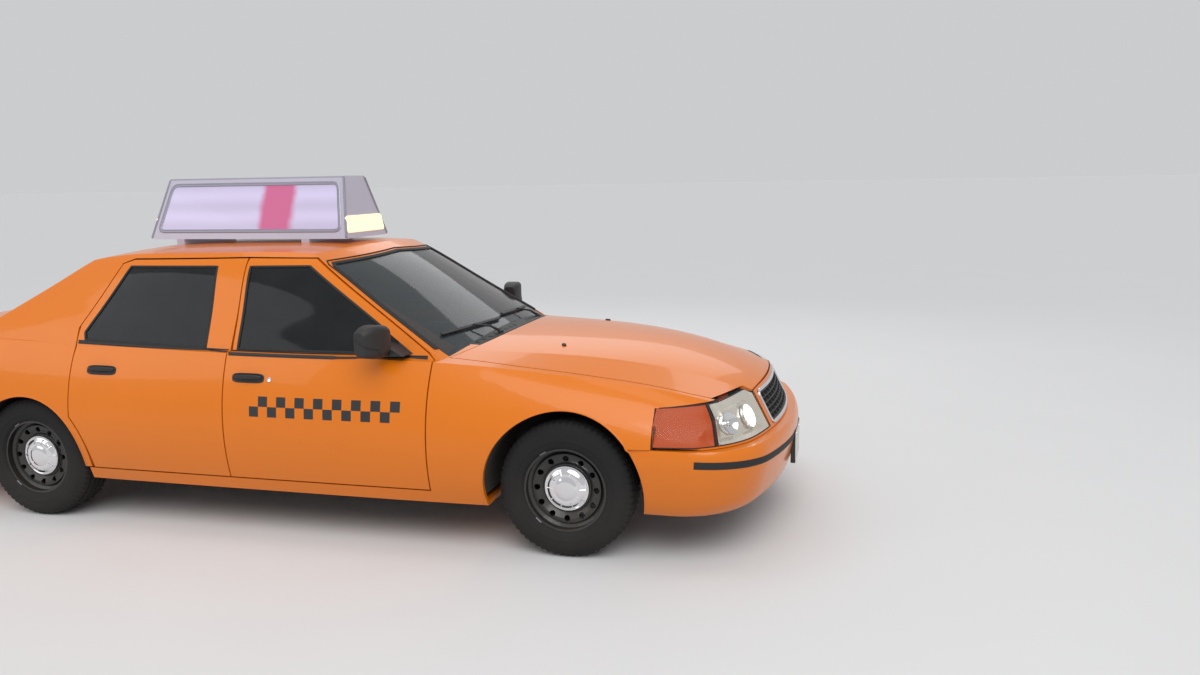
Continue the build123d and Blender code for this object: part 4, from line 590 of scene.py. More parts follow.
WHEELS = (
    # wheel, side, axle, half track
    ("front_right", -1, FRONT_AXLE_X, 0.805),
    ("front_left", 1, FRONT_AXLE_X, 0.805),
    ("rear_right", -1, REAR_AXLE_X, 0.833),
    ("rear_left", 1, REAR_AXLE_X, 0.833),
)


class CAB_OT_panels(bpy.types.Operator):
    """Give the painted panels, glass and running gear their finishes"""
    bl_idname = "cab.panels"
    bl_label = "Panels and glass"

    def execute(self, context):
        mix_finishes()
        for finish, nodes in NODE_FINISH.items():
            for node in nodes:
                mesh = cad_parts[node].data
                mesh.materials.clear()
                mesh.materials.append(FINISHES[finish])
        return {"FINISHED"}


class CAB_OT_window_seals(bpy.types.Operator):
    """Lay a rubber seal round each side window"""
    bl_idname = "cab.window_seals"
    bl_label = "Window seals"

    def execute(self, context):
        width = context.scene.cab_looks.seal_width
        for side_name, side in SIDES:
            for door in ("front", "rear"):
                node = f"glass_{door}_{side_name}"
                tree = tree_of(f"door_{door}_{side_name}", node, f"mirror_{side_name}")
                flat = flat_hull([(vertex.co.x, vertex.co.z) for vertex in points_of(node)])
                middle = middle_of(flat)
                grown = [Vector(p) + (Vector(p) - middle).normalized() * width * 0.35 for p in flat]
                skin = [beside(tree, p.x, p.y, side) for p in round_along(grown, 0.022)]
                form = bmesh.new()
                strip_into(form, skin, moulding(width, 0.003, 0.006), closed=True)
                body = f"door_{door}_{side_name}"
                piece(f"window_seal_{door}_{side_name}", form, body, "rubber")
        return {"FINISHED"}


class CAB_OT_mouldings(bpy.types.Operator):
    """Fit the belt mouldings under the side windows"""
    bl_idname = "cab.mouldings"
    bl_label = "Belt mouldings"

    def execute(self, context):
        for side_name, side in SIDES:
            for door, start, end in BELT_LINES:
                body = f"door_{door}_{side_name}"
                tree = tree_of(body)
                path = along([start, end], 0.03)
                form = bmesh.new()
                for rise, width, height in BELT_STRIPS:
                    skin = [beside(tree, p.x, p.y + rise, side) for p in path]
                    strip_into(form, skin, moulding(width, height))
                piece(f"belt_moulding_{door}_{side_name}", form, body, "black_plastic")
        return {"FINISHED"}


class CAB_OT_screen_surrounds(bpy.types.Operator):
    """Fit the rubber surrounds of the windscreen and rear window"""
    bl_idname = "cab.screen_surrounds"
    bl_label = "Screen surrounds"

    def execute(self, context):
        tree = tree_of("roof", "windscreen")
        form = bmesh.new()
        for spread, rise, width, height in SCREEN_STRIPS:
            flat = [(y * spread, z + (rise if z > SCREEN_WAIST else 0)) for y, z in WINDSCREEN_EDGE]
            skin = [strike(tree, (FAR, p.x, p.y), (-1, 0, 0)) for p in along(flat, 0.03)]
            strip_into(form, skin, moulding(width, height, 0.005))
        piece("windscreen_surround", form, "body", "rubber")

        tree = tree_of("roof", "rear_window", "quarter_right", "quarter_left", "parcel_shelf")
        low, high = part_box("rear_window")
        up = Vector((high.x - low.x, 0, high.z - low.z)).normalized()
        out = Vector((-up.z, 0, up.x))
        pane = tree_of("rear_window")
        edge = flat_hull([(vertex.co.y, vertex.co.z) for vertex in points_of("rear_window")])
        middle = middle_of(edge)
        form = bmesh.new()
        for reach, width, height in REAR_WINDOW_STRIPS:
            skin = []
            for p in round_along(edge, 0.03):
                away = (p - middle).normalized()
                inner = p - away * PANE_INSET
                on_pane = strike(pane, (-FAR, inner.x, inner.y), (1, 0, 0))[0]
                start = on_pane + (Vector((0, away.x, 0)) + up * away.y) * (reach + PANE_INSET)
                skin.append(strike(tree, start + out, -out))
            strip_into(form, skin, moulding(width, height, 0.005), closed=True)
        piece("rear_window_surround", form, "body", "rubber")
        return {"FINISHED"}


ARCH_LIPS = (
    # axle, radius, first and last angle from straight ahead, panels
    (FRONT_AXLE_X, 0.398, -12, 192, ("wing_{}", "front_bumper")),
    (REAR_AXLE_X, 0.358, -3, 192, ("quarter_{}",)),
)


class CAB_OT_arch_lips(bpy.types.Operator):
    """Roll a narrow painted lip round each wheel arch"""
    bl_idname = "cab.arch_lips"
    bl_label = "Wheel arch lips"

    def execute(self, context):
        for side_name, side in SIDES:
            form = bmesh.new()
            for axle, radius, first, last, panels in ARCH_LIPS:
                tree = tree_of(*[panel.format(side_name) for panel in panels])
                skin = []
                for degrees in range(first, last + 1, 3):
                    turn = math.radians(degrees)
                    x, z = axle + radius * math.cos(turn), AXLE_HEIGHT + radius * math.sin(turn)
                    skin.append(beside(tree, x, z, side))
                strip_into(form, skin, moulding(0.008, 0.0028, 0.002))
            piece(f"arch_lips_{side_name}", form, "body", "paint")
        return {"FINISHED"}


CUP_HALF_HEIGHT = 0.024
CUP_RINGS = (
    # share of the cup's size, lift off the skin
    (1.0, -0.001), (1.0, 0.003), (0.94, 0.0045), (0.86, 0.002), (0.80, 0.0015),
)
GRIP_INSET = 0.012
GRIP_SECTION = ((-1, -0.6), (-1, 0.5), (-0.6, 1), (0.6, 1), (1, 0.5), (1, -0.6), (0.5, -1), (-0.5, -1))
LOCK_PROFILE = ((-0.002, 0.012), (0.003, 0.012), (0.0045, 0.0105), (0.004, 0.007), (0.003, 0.0))


class CAB_OT_handles(bpy.types.Operator):
    """Fit a black pull handle in a dished cup, with its lock, to each door"""
    bl_idname = "cab.handles"
    bl_label = "Door handles"

    def execute(self, context):
        for side_name, side in SIDES:
            for door, rear, front, height in HANDLES:
                body = f"door_{door}_{side_name}"
                tree = tree_of(body)
                form = bmesh.new()
                middle, half = (rear + front) / 2, (front - rear) / 2
                outline = []
                for i in range(32):
                    turn = math.tau * i / 32
                    across = math.copysign(abs(math.cos(turn)) ** 0.45, math.cos(turn))
                    up = math.copysign(abs(math.sin(turn)) ** 0.6, math.sin(turn))
                    outline.append((across, up))
                rings = []
                for share, lift in CUP_RINGS:
                    ring = []
                    for across, up in outline:
                        x, z = middle + across * half * share, height + up * CUP_HALF_HEIGHT * share
                        place, normal = beside(tree, x, z, side)
                        ring.append(place + normal * lift)
                    rings.append(ring)
                rows = rings_into(form, rings, ends=False)
                form.faces.new(rows[-1])
                grip = []
                for i in range(17):
                    t = i / 16
                    arch = math.sin(math.pi * t)
                    x = rear + GRIP_INSET + (front - rear - 2 * GRIP_INSET) * t
                    place, normal = beside(tree, x, height + 0.003, side)
                    centre = place + normal * (0.004 + 0.018 * min(1, arch * 1.5))
                    rise = Vector((0, 0, 0.0085 + 0.0025 * arch))
                    grip.append([centre + rise * a + normal * 0.0055 * b for a, b in GRIP_SECTION])
                rings_into(form, grip)
                if door == "front":
                    place, normal = beside(tree, front + 0.030, height - 0.004, side)
                    turned_into(form, place, normal, LOCK_PROFILE, sides=24, material=1)
                piece(f"handle_{door}_{side_name}", form, body, ("black_plastic", "chrome"))
        return {"FINISHED"}


LAMP_CENTRE = (2.22, 0.47)
LAMP_HEIGHTS = (0.586, 0.769)
LAMP_FALL = 0.0002
LAMP_SPLIT = 58.5
LAMP_SHEETS = (
    # material, first angle, last angle, depth behind the lens
    (0, -4, 57, 0.030),
    (1, 60, 104, 0.012),
)
LAMP_BOWLS = (
    # angle, radius, lit
    (14, 0.062, True),
    (43, 0.055, False),
)
BOWL_HEIGHT = 0.672
BOWL_PROFILE = ((0.0, 1), (0.012, 1), (0.014, 0.95), (0.004, 0.7), (-0.006, 0.3), (-0.008, 0))
LENS_PROFILE = ((0.0145, 0.9), (0.0165, 0.8), (0.018, 0.4), (0.0185, 0))
BULB_PROFILE = ((-0.006, 0.016), (0.010, 0.015), (0.016, 0.010), (0.018, 0))


def lamp_height(angle, share):
    """A height on a headlamp, from its foot at 0 to its top at 1, which falls away towards the side."""
    top = LAMP_HEIGHTS[1] - LAMP_FALL * max(0, angle)
    return LAMP_HEIGHTS[0] + (top - LAMP_HEIGHTS[0]) * share


def lamp_skin(tree, side, angle, z):
    """The outer face of a headlamp at an angle from straight ahead, in degrees, and a height."""
    aim = Vector((math.cos(math.radians(angle)), side * math.sin(math.radians(angle)), 0))
    centre = Vector((LAMP_CENTRE[0], side * LAMP_CENTRE[1], z))
    return strike(tree, centre + aim, -aim)


class CAB_OT_headlamps(bpy.types.Operator):
    """Set the reflectors, lit bulbs and amber corner inside each headlamp"""
    bl_idname = "cab.headlamps"
    bl_label = "Headlamps"

    def execute(self, context):
        for side_name, side in SIDES:
            tree = tree_of("headlamps")
            form = bmesh.new()
            for material, first, last, deep in LAMP_SHEETS:
                grid = []
                for row in range(13):
                    line = []
                    for column in range(29):
                        angle = first + (last - first) * column / 28
                        place, normal = lamp_skin(tree, side, angle, lamp_height(angle, row / 12))
                        inset = min(1, row / 2, (12 - row) / 2, column / 2, (28 - column) / 2)
                        flute = 0.0025 * (column % 2)
                        line.append((place - normal * (0.002 + (deep + flute) * inset), normal))
                    grid.append(line)
                sheet_into(form, grid, thick=0.001, lift=0, material=material)
            for angle, radius, lit in LAMP_BOWLS:
                place, normal = lamp_skin(tree, side, angle, BOWL_HEIGHT)
                seat = place - normal * 0.029
                turned_into(form, seat, normal, sized(BOWL_PROFILE, radius), sides=40, material=2)
                turned_into(form, seat, normal, BULB_PROFILE, sides=20, material=3 if lit else 2)
                if lit:
                    turned_into(form, seat, normal, sized(LENS_PROFILE, radius), sides=40, material=3)
            finishes = ("reflector_painted_glow", "amber", "chrome", "lamp_lit")
            piece(f"headlamp_inside_{side_name}", form, "body", finishes)
            edge = bmesh.new()
            split = [lamp_skin(tree, side, LAMP_SPLIT, lamp_height(LAMP_SPLIT, k / 6)) for k in range(7)]
            strip_into(edge, split, moulding(0.007, 0.0015, 0.004))
            for share, angles in ((-0.01, range(-4, 105, 4)), (1, range(104, -5, -4))):
                rim = [lamp_skin(tree, side, angle, lamp_height(angle, share)) for angle in angles]
                strip_into(edge, rim, moulding(0.005, 0.0014, 0.003))
            piece(f"headlamp_rim_{side_name}", edge, "body", "rubber")
        return {"FINISHED"}


TAIL_LENSES = (
    # inner and outer edge across the car, lower and upper edge, material
    (0.462, 0.600, 0.672, 0.750, 0),
    (0.462, 0.600, 0.760, 0.840, 1),
    (0.612, 0.735, 0.672, 0.840, 1),
)


class CAB_OT_tail_lamps(bpy.types.Operator):
    """Add the reversing lens and the ribbed red lenses of each tail lamp"""
    bl_idname = "cab.tail_lamps"
    bl_label = "Tail lamps"

    def execute(self, context):
        tree = tree_of("tail_lamps")
        for side_name, side in SIDES:
            form = bmesh.new()
            for low_y, high_y, low_z, high_z, material in TAIL_LENSES:
                grid = []
                for row in range(7):
                    z = low_z + (high_z - low_z) * row / 6
                    line = []
                    for column in range(13):
                        y = side * (low_y + (high_y - low_y) * column / 12)
                        place, normal = strike(tree, (-FAR - 1, y, z), (1, 0, 0))
                        line.append((place + normal * 0.0012 * (column % 2), normal))
                    grid.append(line)
                sheet_into(form, grid, thick=0.0015, lift=0.0005, material=material)
            piece(f"tail_lens_{side_name}", form, "body", ("white_lens", "red_lens"))
        return {"FINISHED"}


class CAB_OT_grille_trim(bpy.types.Operator):
    """Frame the grille with a bright surround"""
    bl_idname = "cab.grille_trim"
    bl_label = "Grille surround"

    def execute(self, context):
        low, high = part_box("grille")
        left, right, foot, top = low.y + 0.004, high.y - 0.004, low.z + 0.003, high.z - 0.003
        outline = rounded([(left, foot), (right, foot), (right, top), (left, top)], 0.03)
        tree = tree_of("grille", "front_panel")
        skin = [strike(tree, (FAR + 1, p.x, p.y), (-1, 0, 0)) for p in round_along(outline, 0.025)]
        form = bmesh.new()
        strip_into(form, skin, moulding(0.018, 0.007, 0.006), closed=True)
        piece("grille_surround", form, "body", "chrome")
        return {"FINISHED"}


STRIPS = (
    # bumper, turning centre, first angle, last angle, height at the middle, height at the sides
    ("front", 1.90, -64, 64, 0.470, 0.512),
    ("rear", -1.90, 116, 244, 0.500, 0.512),
)


class CAB_OT_bumper_strips(bpy.types.Operator):
    """Run a black rub strip round both bumpers"""
    bl_idname = "cab.bumper_strips"
    bl_label = "Bumper strips"

    def execute(self, context):
        height = context.scene.cab_looks.strip_height
        for end, centre, first, last, low, high in STRIPS:
            tree = tree_of(f"{end}_bumper")
            skin = []
            for i in range(97):
                angle = math.radians(first + (last - first) * i / 96)
                lean = abs(i / 48 - 1) ** 1.5
                z = low + (high - low) * lean
                aim = Vector((math.cos(angle), math.sin(angle), 0))
                skin.append(strike(tree, Vector((centre, 0, z)) + aim * 1.6, -aim))
            form = bmesh.new()
            strip_into(form, skin, moulding(height, 0.0024, 0.003))
            piece(f"{end}_bumper_strip", form, "body", "rubber")
        return {"FINISHED"}


PLATES = (
    # plate, body, node, aim along the car, height of the middle
    ("front_plate", "body", "front_bumper", -1, 0.405),
    ("rear_plate", "boot_lid", "boot_lid", 1, 0.735),
)
PLATE_SIZE = (0.305, 0.152)
PLATE_LAYERS = (
    # outset, front, back, material
    (0.010, 0.0, 0.024, 0),
    (0.0, 0.0012, 0.004, 1),
)
PLATE_SCREWS = (0.089, 0.062)
SCREW_PROFILE = ((0.001, 0.006), (0.003, 0.0055), (0.0035, 0))


class CAB_OT_plates(bpy.types.Operator):
    """Fit blank plates in their frames, front and rear"""
    bl_idname = "cab.plates"
    bl_label = "Blank plates"

    def execute(self, context):
        wide, tall = PLATE_SIZE
        for name, body, node, aim, height in PLATES:
            tree = tree_of(node)
            foremost = max(-aim * strike(tree, (-aim * (FAR + 1), y, height + z), (aim, 0, 0))[0].x
                           for y in (-wide / 2, 0, wide / 2) for z in (-tall / 2, 0, tall / 2))
            face = -aim * (foremost + 0.0015)
            form = bmesh.new()
            for outset, front, back, material in PLATE_LAYERS:
                half, rise = wide / 2 + outset, tall / 2 + outset
                outline = rounded([(-half, -rise), (half, -rise), (half, rise), (-half, rise)], 0.012)
                rings = []
                for reach, shrink in ((-back, 1), (front - 0.001, 1), (front, 0.995), (front, 0.985)):
                    x = face - aim * reach
                    rings.append([Vector((x, p.x * shrink, height + p.y * shrink)) for p in outline])
                rings_into(form, rings, material=material)
            for y in (-PLATE_SCREWS[0], PLATE_SCREWS[0]):
                seat = (face, y, height + PLATE_SCREWS[1])
                turned_into(form, seat, (-aim, 0, 0), SCREW_PROFILE, sides=12, material=2)
            piece(name, form, body, ("black_plastic", "plate", "chrome"))
        return {"FINISHED"}


TYRE_PROFILE = (
    # across, radius, how far a lateral groove sinks it
    (0.088, 0.2035, 0), (0.096, 0.206, 0), (0.1035, 0.215, 0), (0.1055, 0.2165, 0), (0.1095, 0.230, 0),
    (0.1125, 0.246, 0), (0.1138, 0.2475, 0), (0.1138, 0.2505, 0), (0.1132, 0.252, 0), (0.1143, 0.262, 0),
    (0.1140, 0.276, 0), (0.1120, 0.289, 0), (0.1085, 0.301, 0.2), (0.1045, 0.3095, 0.8), (0.1000, 0.3175, 1),
    (0.0945, 0.3255, 1), (0.0870, 0.3318, 1), (0.0780, 0.3350, 1), (0.0600, 0.3366, 0.6), (0.0590, 0.3290, 0),
    (0.0500, 0.3290, 0), (0.0490, 0.3371, 0.35), (0.0350, 0.3376, 0.35), (0.0210, 0.3377, 0.35),
    (0.0200, 0.3295, 0), (0.0110, 0.3295, 0), (0.0100, 0.3379, 0),
)
GROOVE_DEPTH = 0.0065
TREAD_LEAN = 9.0


class CAB_OT_tyres(bpy.types.Operator):
    """Mould each tyre with its ribs, grooves and shoulder blocks"""
    bl_idname = "cab.tyres"
    bl_label = "Tyres"

    def execute(self, context):
        slices = context.scene.cab_looks.tread_pitches * 3
        profile = list(TYRE_PROFILE) + [(-a, r, s) for a, r, s in reversed(TYRE_PROFILE)]
        for name, side, axle, track in WHEELS:
            form = bmesh.new()
            rings = []
            for i in range(slices):
                ring = []
                for across, radius, sink in profile:
                    shift = 1.5 if across < 0 else 0
                    groove = (i + shift) % 3 < 1
                    turn = math.tau * (i + TREAD_LEAN * across) / slices
                    reach = radius - (GROOVE_DEPTH * sink if groove else 0)
                    x, z = axle + reach * math.sin(turn), AXLE_HEIGHT + reach * math.cos(turn)
                    ring.append(Vector((x, side * track + across, z)))
                rings.append(ring)
            rings_into(form, rings, closed_path=True)
            made = piece(f"moulded_tyre_{name}", form, f"wheel_{name}", "tyre", sharp=42)
            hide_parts(f"tyre_{name}")
        return {"FINISHED"}


CAP_PROFILE = (
    # out from the wheel's middle, share of the cap's radius
    (0.052, 0.985), (0.058, 1), (0.0625, 0.985), (0.0635, 0.95), (0.0615, 0.91), (0.0630, 0.86),
    (0.0705, 0.79), (0.0755, 0.70), (0.0765, 0.61), (0.0750, 0.56), (0.0765, 0.51), (0.0815, 0.44),
    (0.0840, 0.34), (0.0848, 0.22), (0.0850, 0),
)
CAP_RIBS = 10
CAP_RIB_ENDS = ((0.0655, 0.86), (0.0765, 0.60))
VALVE_TURN = 0.6
VALVE_SEAT = (0.062, 0.178)
WEIGHT_TURNS = (2.1, 4.0)
WEIGHT_SEAT = (0.0965, 0.2075)
WEIGHT_HALF = 0.018


class CAB_OT_hub_caps(bpy.types.Operator):
    """Press a bright ribbed cap onto each steel wheel, with a valve and balance weights"""
    bl_idname = "cab.hub_caps"
    bl_label = "Hub caps"

    def execute(self, context):
        size = context.scene.cab_looks.cap_radius
        for name, side, axle, track in WHEELS:
            form = bmesh.new()
            centre, out = Vector((axle, side * track, AXLE_HEIGHT)), Vector((0, side, 0))
            turned_into(form, centre, out, sized(CAP_PROFILE, size), sides=72)
            for i in range(CAP_RIBS):
                spoke = spoke_at(math.tau * i / CAP_RIBS)
                outer, inner = (centre + out * reach + spoke * size * share for reach, share in CAP_RIB_ENDS)
                bar_into(form, outer, inner, 0.0042, end_radius=0.0028, sides=8)
            spoke = spoke_at(VALVE_TURN)
            foot = centre + out * VALVE_SEAT[0] + spoke * VALVE_SEAT[1]
            bar_into(form, foot - spoke * 0.006 - out * 0.012, foot + out * 0.030, 0.0042,
                     end_radius=0.0036, material=1)
            for turn in WEIGHT_TURNS:
                seat = centre + out * WEIGHT_SEAT[0] + spoke_at(turn) * WEIGHT_SEAT[1]
                half = Vector((-math.sin(turn), 0, math.cos(turn))) * WEIGHT_HALF
                bar_into(form, seat - half, seat + half, 0.0042, material=2)
            piece(f"hub_cap_{name}", form, f"wheel_{name}", ("chrome", "rubber", "lead"))
        return {"FINISHED"}


DISC_PROFILE = (
    # out from the wheel's middle, radius
    (-0.008, 0.046), (-0.008, 0.078), (-0.016, 0.082), (-0.030, 0.085), (-0.030, 0.142), (-0.036, 0.143),
    (-0.037, 0.139), (-0.044, 0.139), (-0.045, 0.143), (-0.051, 0.142), (-0.051, 0.082), (-0.020, 0.070),
    (-0.018, 0.046),
)
CALIPER_SIZE = (0.062, 0.066, 0.150)
CALIPER_PLACE = (-0.128, -0.040, 0.030)


class CAB_OT_brakes(bpy.types.Operator):
    """Add the brake discs and calipers behind the wheels"""
    bl_idname = "cab.brakes"
    bl_label = "Brakes"

    def execute(self, context):
        for name, side, axle, track in WHEELS:
            centre, out = Vector((axle, side * track, AXLE_HEIGHT)), Vector((0, side, 0))
            form = bmesh.new()
            turned_into(form, centre, out, DISC_PROFILE, sides=72)
            piece(f"brake_disc_{name}", form, f"wheel_{name}", "exhaust")
            grip = bmesh.new()
            seat = centre + Vector(CALIPER_PLACE) * Vector((1, side, 1))
            pad_into(grip, seat, CALIPER_SIZE, tilted(18), power=6, cuts=7)
            body = f"knuckle_{name[6:]}" if name.startswith("front") else "body"
            piece(f"brake_caliper_{name}", grip, body, "iron")
        return {"FINISHED"}


WIPERS = (
    # inner end, outer end, pivot across the car
    (-0.08, -0.64, -0.30),
    (0.54, 0.00, 0.36),
)


def screen_foot(y):
    """How far forward the windscreen's lower edge lies at a width."""
    return 1.185 - 0.125 * (y / 0.765) ** 2


BLADE_SECTION = (
    # across, up
    (-0.002, 0.0005), (-0.003, 0.008), (-0.008, 0.010), (-0.008, 0.015), (0.008, 0.015), (0.008, 0.010),
    (0.003, 0.008), (0.002, 0.0005),
)
PIVOT_PROFILE = ((-0.01, 0.016), (0.010, 0.015), (0.014, 0.011), (0.015, 0))
ELBOW_RISE = Vector((0, 0, 0.026))
JET_PLACE = (1.606, 0.456)
JET_SIZE = (0.034, 0.022, 0.012)
SLATS = 9
SLAT_REACHES = (0.016, 0.024, 0.032, 0.040)


class CAB_OT_wipers(bpy.types.Operator):
    """Park the two wipers at the foot of the windscreen, with the cowl's slats and the washer jets"""
    bl_idname = "cab.wipers"
    bl_label = "Wipers and washers"

    def execute(self, context):
        screen = tree_of("windscreen", "cowl", "bonnet")
        form = bmesh.new()
        for inner, outer, pivot_y in WIPERS:
            blade = []
            for i in range(21):
                y = inner + (outer - inner) * i / 20
                lift = 0.075 + 0.02 * i / 20
                blade.append(strike(screen, (screen_foot(y) - lift, y, FAR), (0, 0, -1)))
            strip_into(form, blade, BLADE_SECTION)
            foot, up = strike(screen, (screen_foot(pivot_y) + 0.035, pivot_y, FAR), (0, 0, -1))
            turned_into(form, foot, up, PIVOT_PROFILE, sides=20)
            middle, normal = blade[11]
            elbow = foot.lerp(middle, 0.35) + ELBOW_RISE
            bar_into(form, foot + up * 0.008, elbow, 0.0085, end_radius=0.006, sides=8)
            bar_into(form, elbow, middle + normal * 0.020, 0.006, end_radius=0.004, sides=8)
        piece("wipers", form, "body", "black_plastic")
        jets = bmesh.new()
        bonnet = tree_of("bonnet")
        for side in (-1, 1):
            place, normal = strike(bonnet, (JET_PLACE[0], side * JET_PLACE[1], FAR), (0, 0, -1))
            turn = normal.to_track_quat("Z", "X").to_matrix()
            pad_into(jets, place + normal * 0.003, JET_SIZE, turn, power=3, cuts=6)
        piece("washer_jets", jets, "bonnet", "black_plastic")
        slats = bmesh.new()
        for side in (-1, 1):
            for k in range(SLATS):
                y = side * (0.10 + 0.06 * k)
                starts = [(screen_foot(y) + reach, y, FAR) for reach in SLAT_REACHES]
                line = [strike(screen, start, (0, 0, -1)) for start in starts]
                strip_into(slats, line, moulding(0.010, 0.0022, 0.001))
        piece("cowl_slats", slats, "body", "rubber")
        return {"FINISHED"}


CHECK_COLUMNS = 16
CHECK_START = (0.085, 0.650)


class CAB_OT_checker_band(bpy.types.Operator):
    """Set a plain checker band on the front doors"""
    bl_idname = "cab.checker_band"
    bl_label = "Checker band"

    def execute(self, context):
        size = context.scene.cab_looks.check_size
        for side_name, side in SIDES:
            body = f"door_front_{side_name}"
            tree = tree_of(body)
            form = bmesh.new()
            for row in range(2):
                for column in range(CHECK_COLUMNS):
                    if (row + column) % 2:
                        continue
                    x, z = CHECK_START[0] + column * size, CHECK_START[1] + row * size
                    grid = [[beside(tree, x + size * b / 3, z + size * a / 3, side) for b in range(4)]
                            for a in range(4)]
                    sheet_into(form, grid, thick=0.0002, lift=0.0002)
            piece(f"checker_band_{side_name}", form, body, "check_black")
        return {"FINISHED"}


SIGN_ENDS = (
    # foot and head along the car
    (-1.008, -0.944),
    (0.275, 0.211),
)
SIGN_FOOT = (0.246, 1.512)
SIGN_HEAD = (0.121, 1.848)
SIGN_LEAN = 0.05
RIDGE = (0.117, 1.849)
END_LAMP = (0.205, 1.548, 1.618)
END_FRAME = ((-0.212, 1.541), (0.212, 1.541), (0.208, 1.625), (-0.208, 1.625))


class CAB_OT_roof_sign(bpy.types.Operator):
    """Trim the roof sign with its panel frames, corner edges and end lamps"""
    bl_idname = "cab.roof_sign"
    bl_label = "Roof sign"

    def execute(self, context):
        tree = tree_of("roof_sign", "sign_panels")
        low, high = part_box("sign_panels")
        outline = rounded([(low.x, low.z), (low.x + SIGN_LEAN, high.z), (high.x - SIGN_LEAN, high.z),
                           (high.x, low.z)], 0.035)
        for side_name, side in SIDES:
            skin = [beside(tree, p.x, p.y, side) for p in round_along(outline, 0.03)]
            form = bmesh.new()
            strip_into(form, skin, moulding(0.020, 0.005, 0.002), closed=True)
            piece(f"sign_frame_{side_name}", form, "body", "sign_edge")
        top = bmesh.new()
        for side in (-1, 1):
            for foot_x, head_x in SIGN_ENDS:
                corner = (foot_x, side * SIGN_FOOT[0], SIGN_FOOT[1])
                bar_into(top, corner, (head_x, side * SIGN_HEAD[0], SIGN_HEAD[1]), 0.007)
            ridge = [(head_x, side * RIDGE[0], RIDGE[1]) for _, head_x in SIGN_ENDS]
            bar_into(top, ridge[0], ridge[1], 0.007)
        piece("sign_edges", top, "body", "sign_edge")
        lamps = bmesh.new()
        half, foot, head = END_LAMP
        for aim in (-1, 1):
            grid = []
            for row in range(6):
                z = foot + (head - foot) * row / 5
                starts = [(-aim * FAR, half * (column / 8 - 1), z) for column in range(17)]
                grid.append([strike(tree, start, (aim, 0, 0)) for start in starts])
            sheet_into(lamps, grid, thick=0.004, lift=0.001, material=0 if aim < 0 else 1)
            rim = round_along(rounded(END_FRAME, 0.012), 0.02)
            skin = [strike(tree, (-aim * FAR, p.x, p.y), (aim, 0, 0)) for p in rim]
            strip_into(lamps, skin, moulding(0.012, 0.007, 0.002), closed=True)
        piece("sign_end_lamps", lamps, "body", ("sign_glow", "white_lens"))
        return {"FINISHED"}


# inner and lower edge, width, height
MIRROR_GLASS = (0.953, 1.000, 0.122, 0.108)


class CAB_OT_mirror_glass(bpy.types.Operator):
    """Set the reflecting glass in the door mirrors"""
    bl_idname = "cab.mirror_glass"
    bl_label = "Mirror glass"

    def execute(self, context):
        inner, foot, wide, tall = MIRROR_GLASS
        for side_name, side in SIDES:
            tree = tree_of(f"mirror_{side_name}")
            form = bmesh.new()
            grid = []
            for row in range(9):
                z = foot + tall * row / 8
                ease = 0.010 * (abs(row / 4 - 1) ** 4)
                widths = [inner + ease + (wide - 2 * ease) * column / 12 for column in range(13)]
                grid.append([strike(tree, (-FAR, side * y, z), (1, 0, 0)) for y in widths])
            sheet_into(form, grid, thick=0.0012, lift=0.001)
            piece(f"mirror_glass_{side_name}", form, f"door_front_{side_name}", "chrome")
        return {"FINISHED"}


CARDS = (
    # door, front edge, rear edge, rear edge low down, height there
    ("front", 0.950, 0.020, 0.020, 0.40),
    ("rear", -0.195, -0.930, -0.800, 0.62),
)
CARD_FOOT = 0.410
CARD_HEIGHT = 0.485
CARD_SEAMS = (7, 13)
CARD_SWELL = 0.003
CARD_SEAM_DEPTH = 0.002
ARMREST_SIZE = (0.36, 0.058, 0.050)
LATCH_SIZE = (0.11, 0.016, 0.040)
SPEAKER_PROFILE = ((-0.006, 0.074), (0.005, 0.072), (0.008, 0.066), (0.005, 0.060), (0.006, 0.03), (0.007, 0))


class CAB_OT_door_cards(bpy.types.Operator):
    """Line the doors inside with padded cards, armrests, pulls and speakers"""
    bl_idname = "cab.door_cards"
    bl_label = "Door cards"

    def execute(self, context):
        for side_name, side in SIDES:
            for door, front, rear, rear_low, knee in CARDS:
                body = f"door_{door}_{side_name}"
                tree = tree_of(body)
                form = bmesh.new()
                grid = []
                for row in range(19):
                    z = CARD_FOOT + CARD_HEIGHT * row / 18
                    climb = max(0, (z - CARD_FOOT) / max(knee - CARD_FOOT, 0.01))
                    back = rear if z > knee else rear_low + (rear - rear_low) * climb
                    line = []
                    for column in range(33):
                        place = strike(tree, (front + (back - front) * column / 32, 0, z), (0, side, 0))[0]
                        fullness = math.sin(math.pi * column / 32) * math.sin(math.pi * row / 18)
                        swell = CARD_SWELL * fullness ** 0.3
                        sewn = CARD_SEAM_DEPTH * (row in CARD_SEAMS)
                        line.append((place - Vector((0, side, 0)) * (swell - sewn), Vector((0, -side, 0))))
                    grid.append(line)
                sheet_into(form, grid, thick=0.005, lift=0.001)
                middle = (front + rear) / 2 + 0.02
                inner = strike(tree, (middle, 0, 0.66), (0, side, 0))[0].y
                rest_y = inner - side * 0.030
                pad_into(form, (middle, rest_y, 0.665), ARMREST_SIZE, power=5, material=1)
                crest = (middle + 0.06, inner - side * 0.046, 0.735)
                bar_into(form, (middle + 0.15, rest_y, 0.700), crest, 0.010)
                bar_into(form, crest, (middle - 0.03, rest_y, 0.700), 0.010)
                speaker = (front - 0.14, inner - side * 0.006, 0.480)
                turned_into(form, speaker, (0, -side, 0), SPEAKER_PROFILE, sides=36, material=2)
                latch = (front - 0.10, inner - side * 0.005, 0.790)
                pad_into(form, latch, LATCH_SIZE, power=6, cuts=5, material=2)
                finishes = ("card_vinyl", "vinyl", "black_plastic")
                piece(f"door_card_{door}_{side_name}", form, body, finishes)
        return {"FINISHED"}


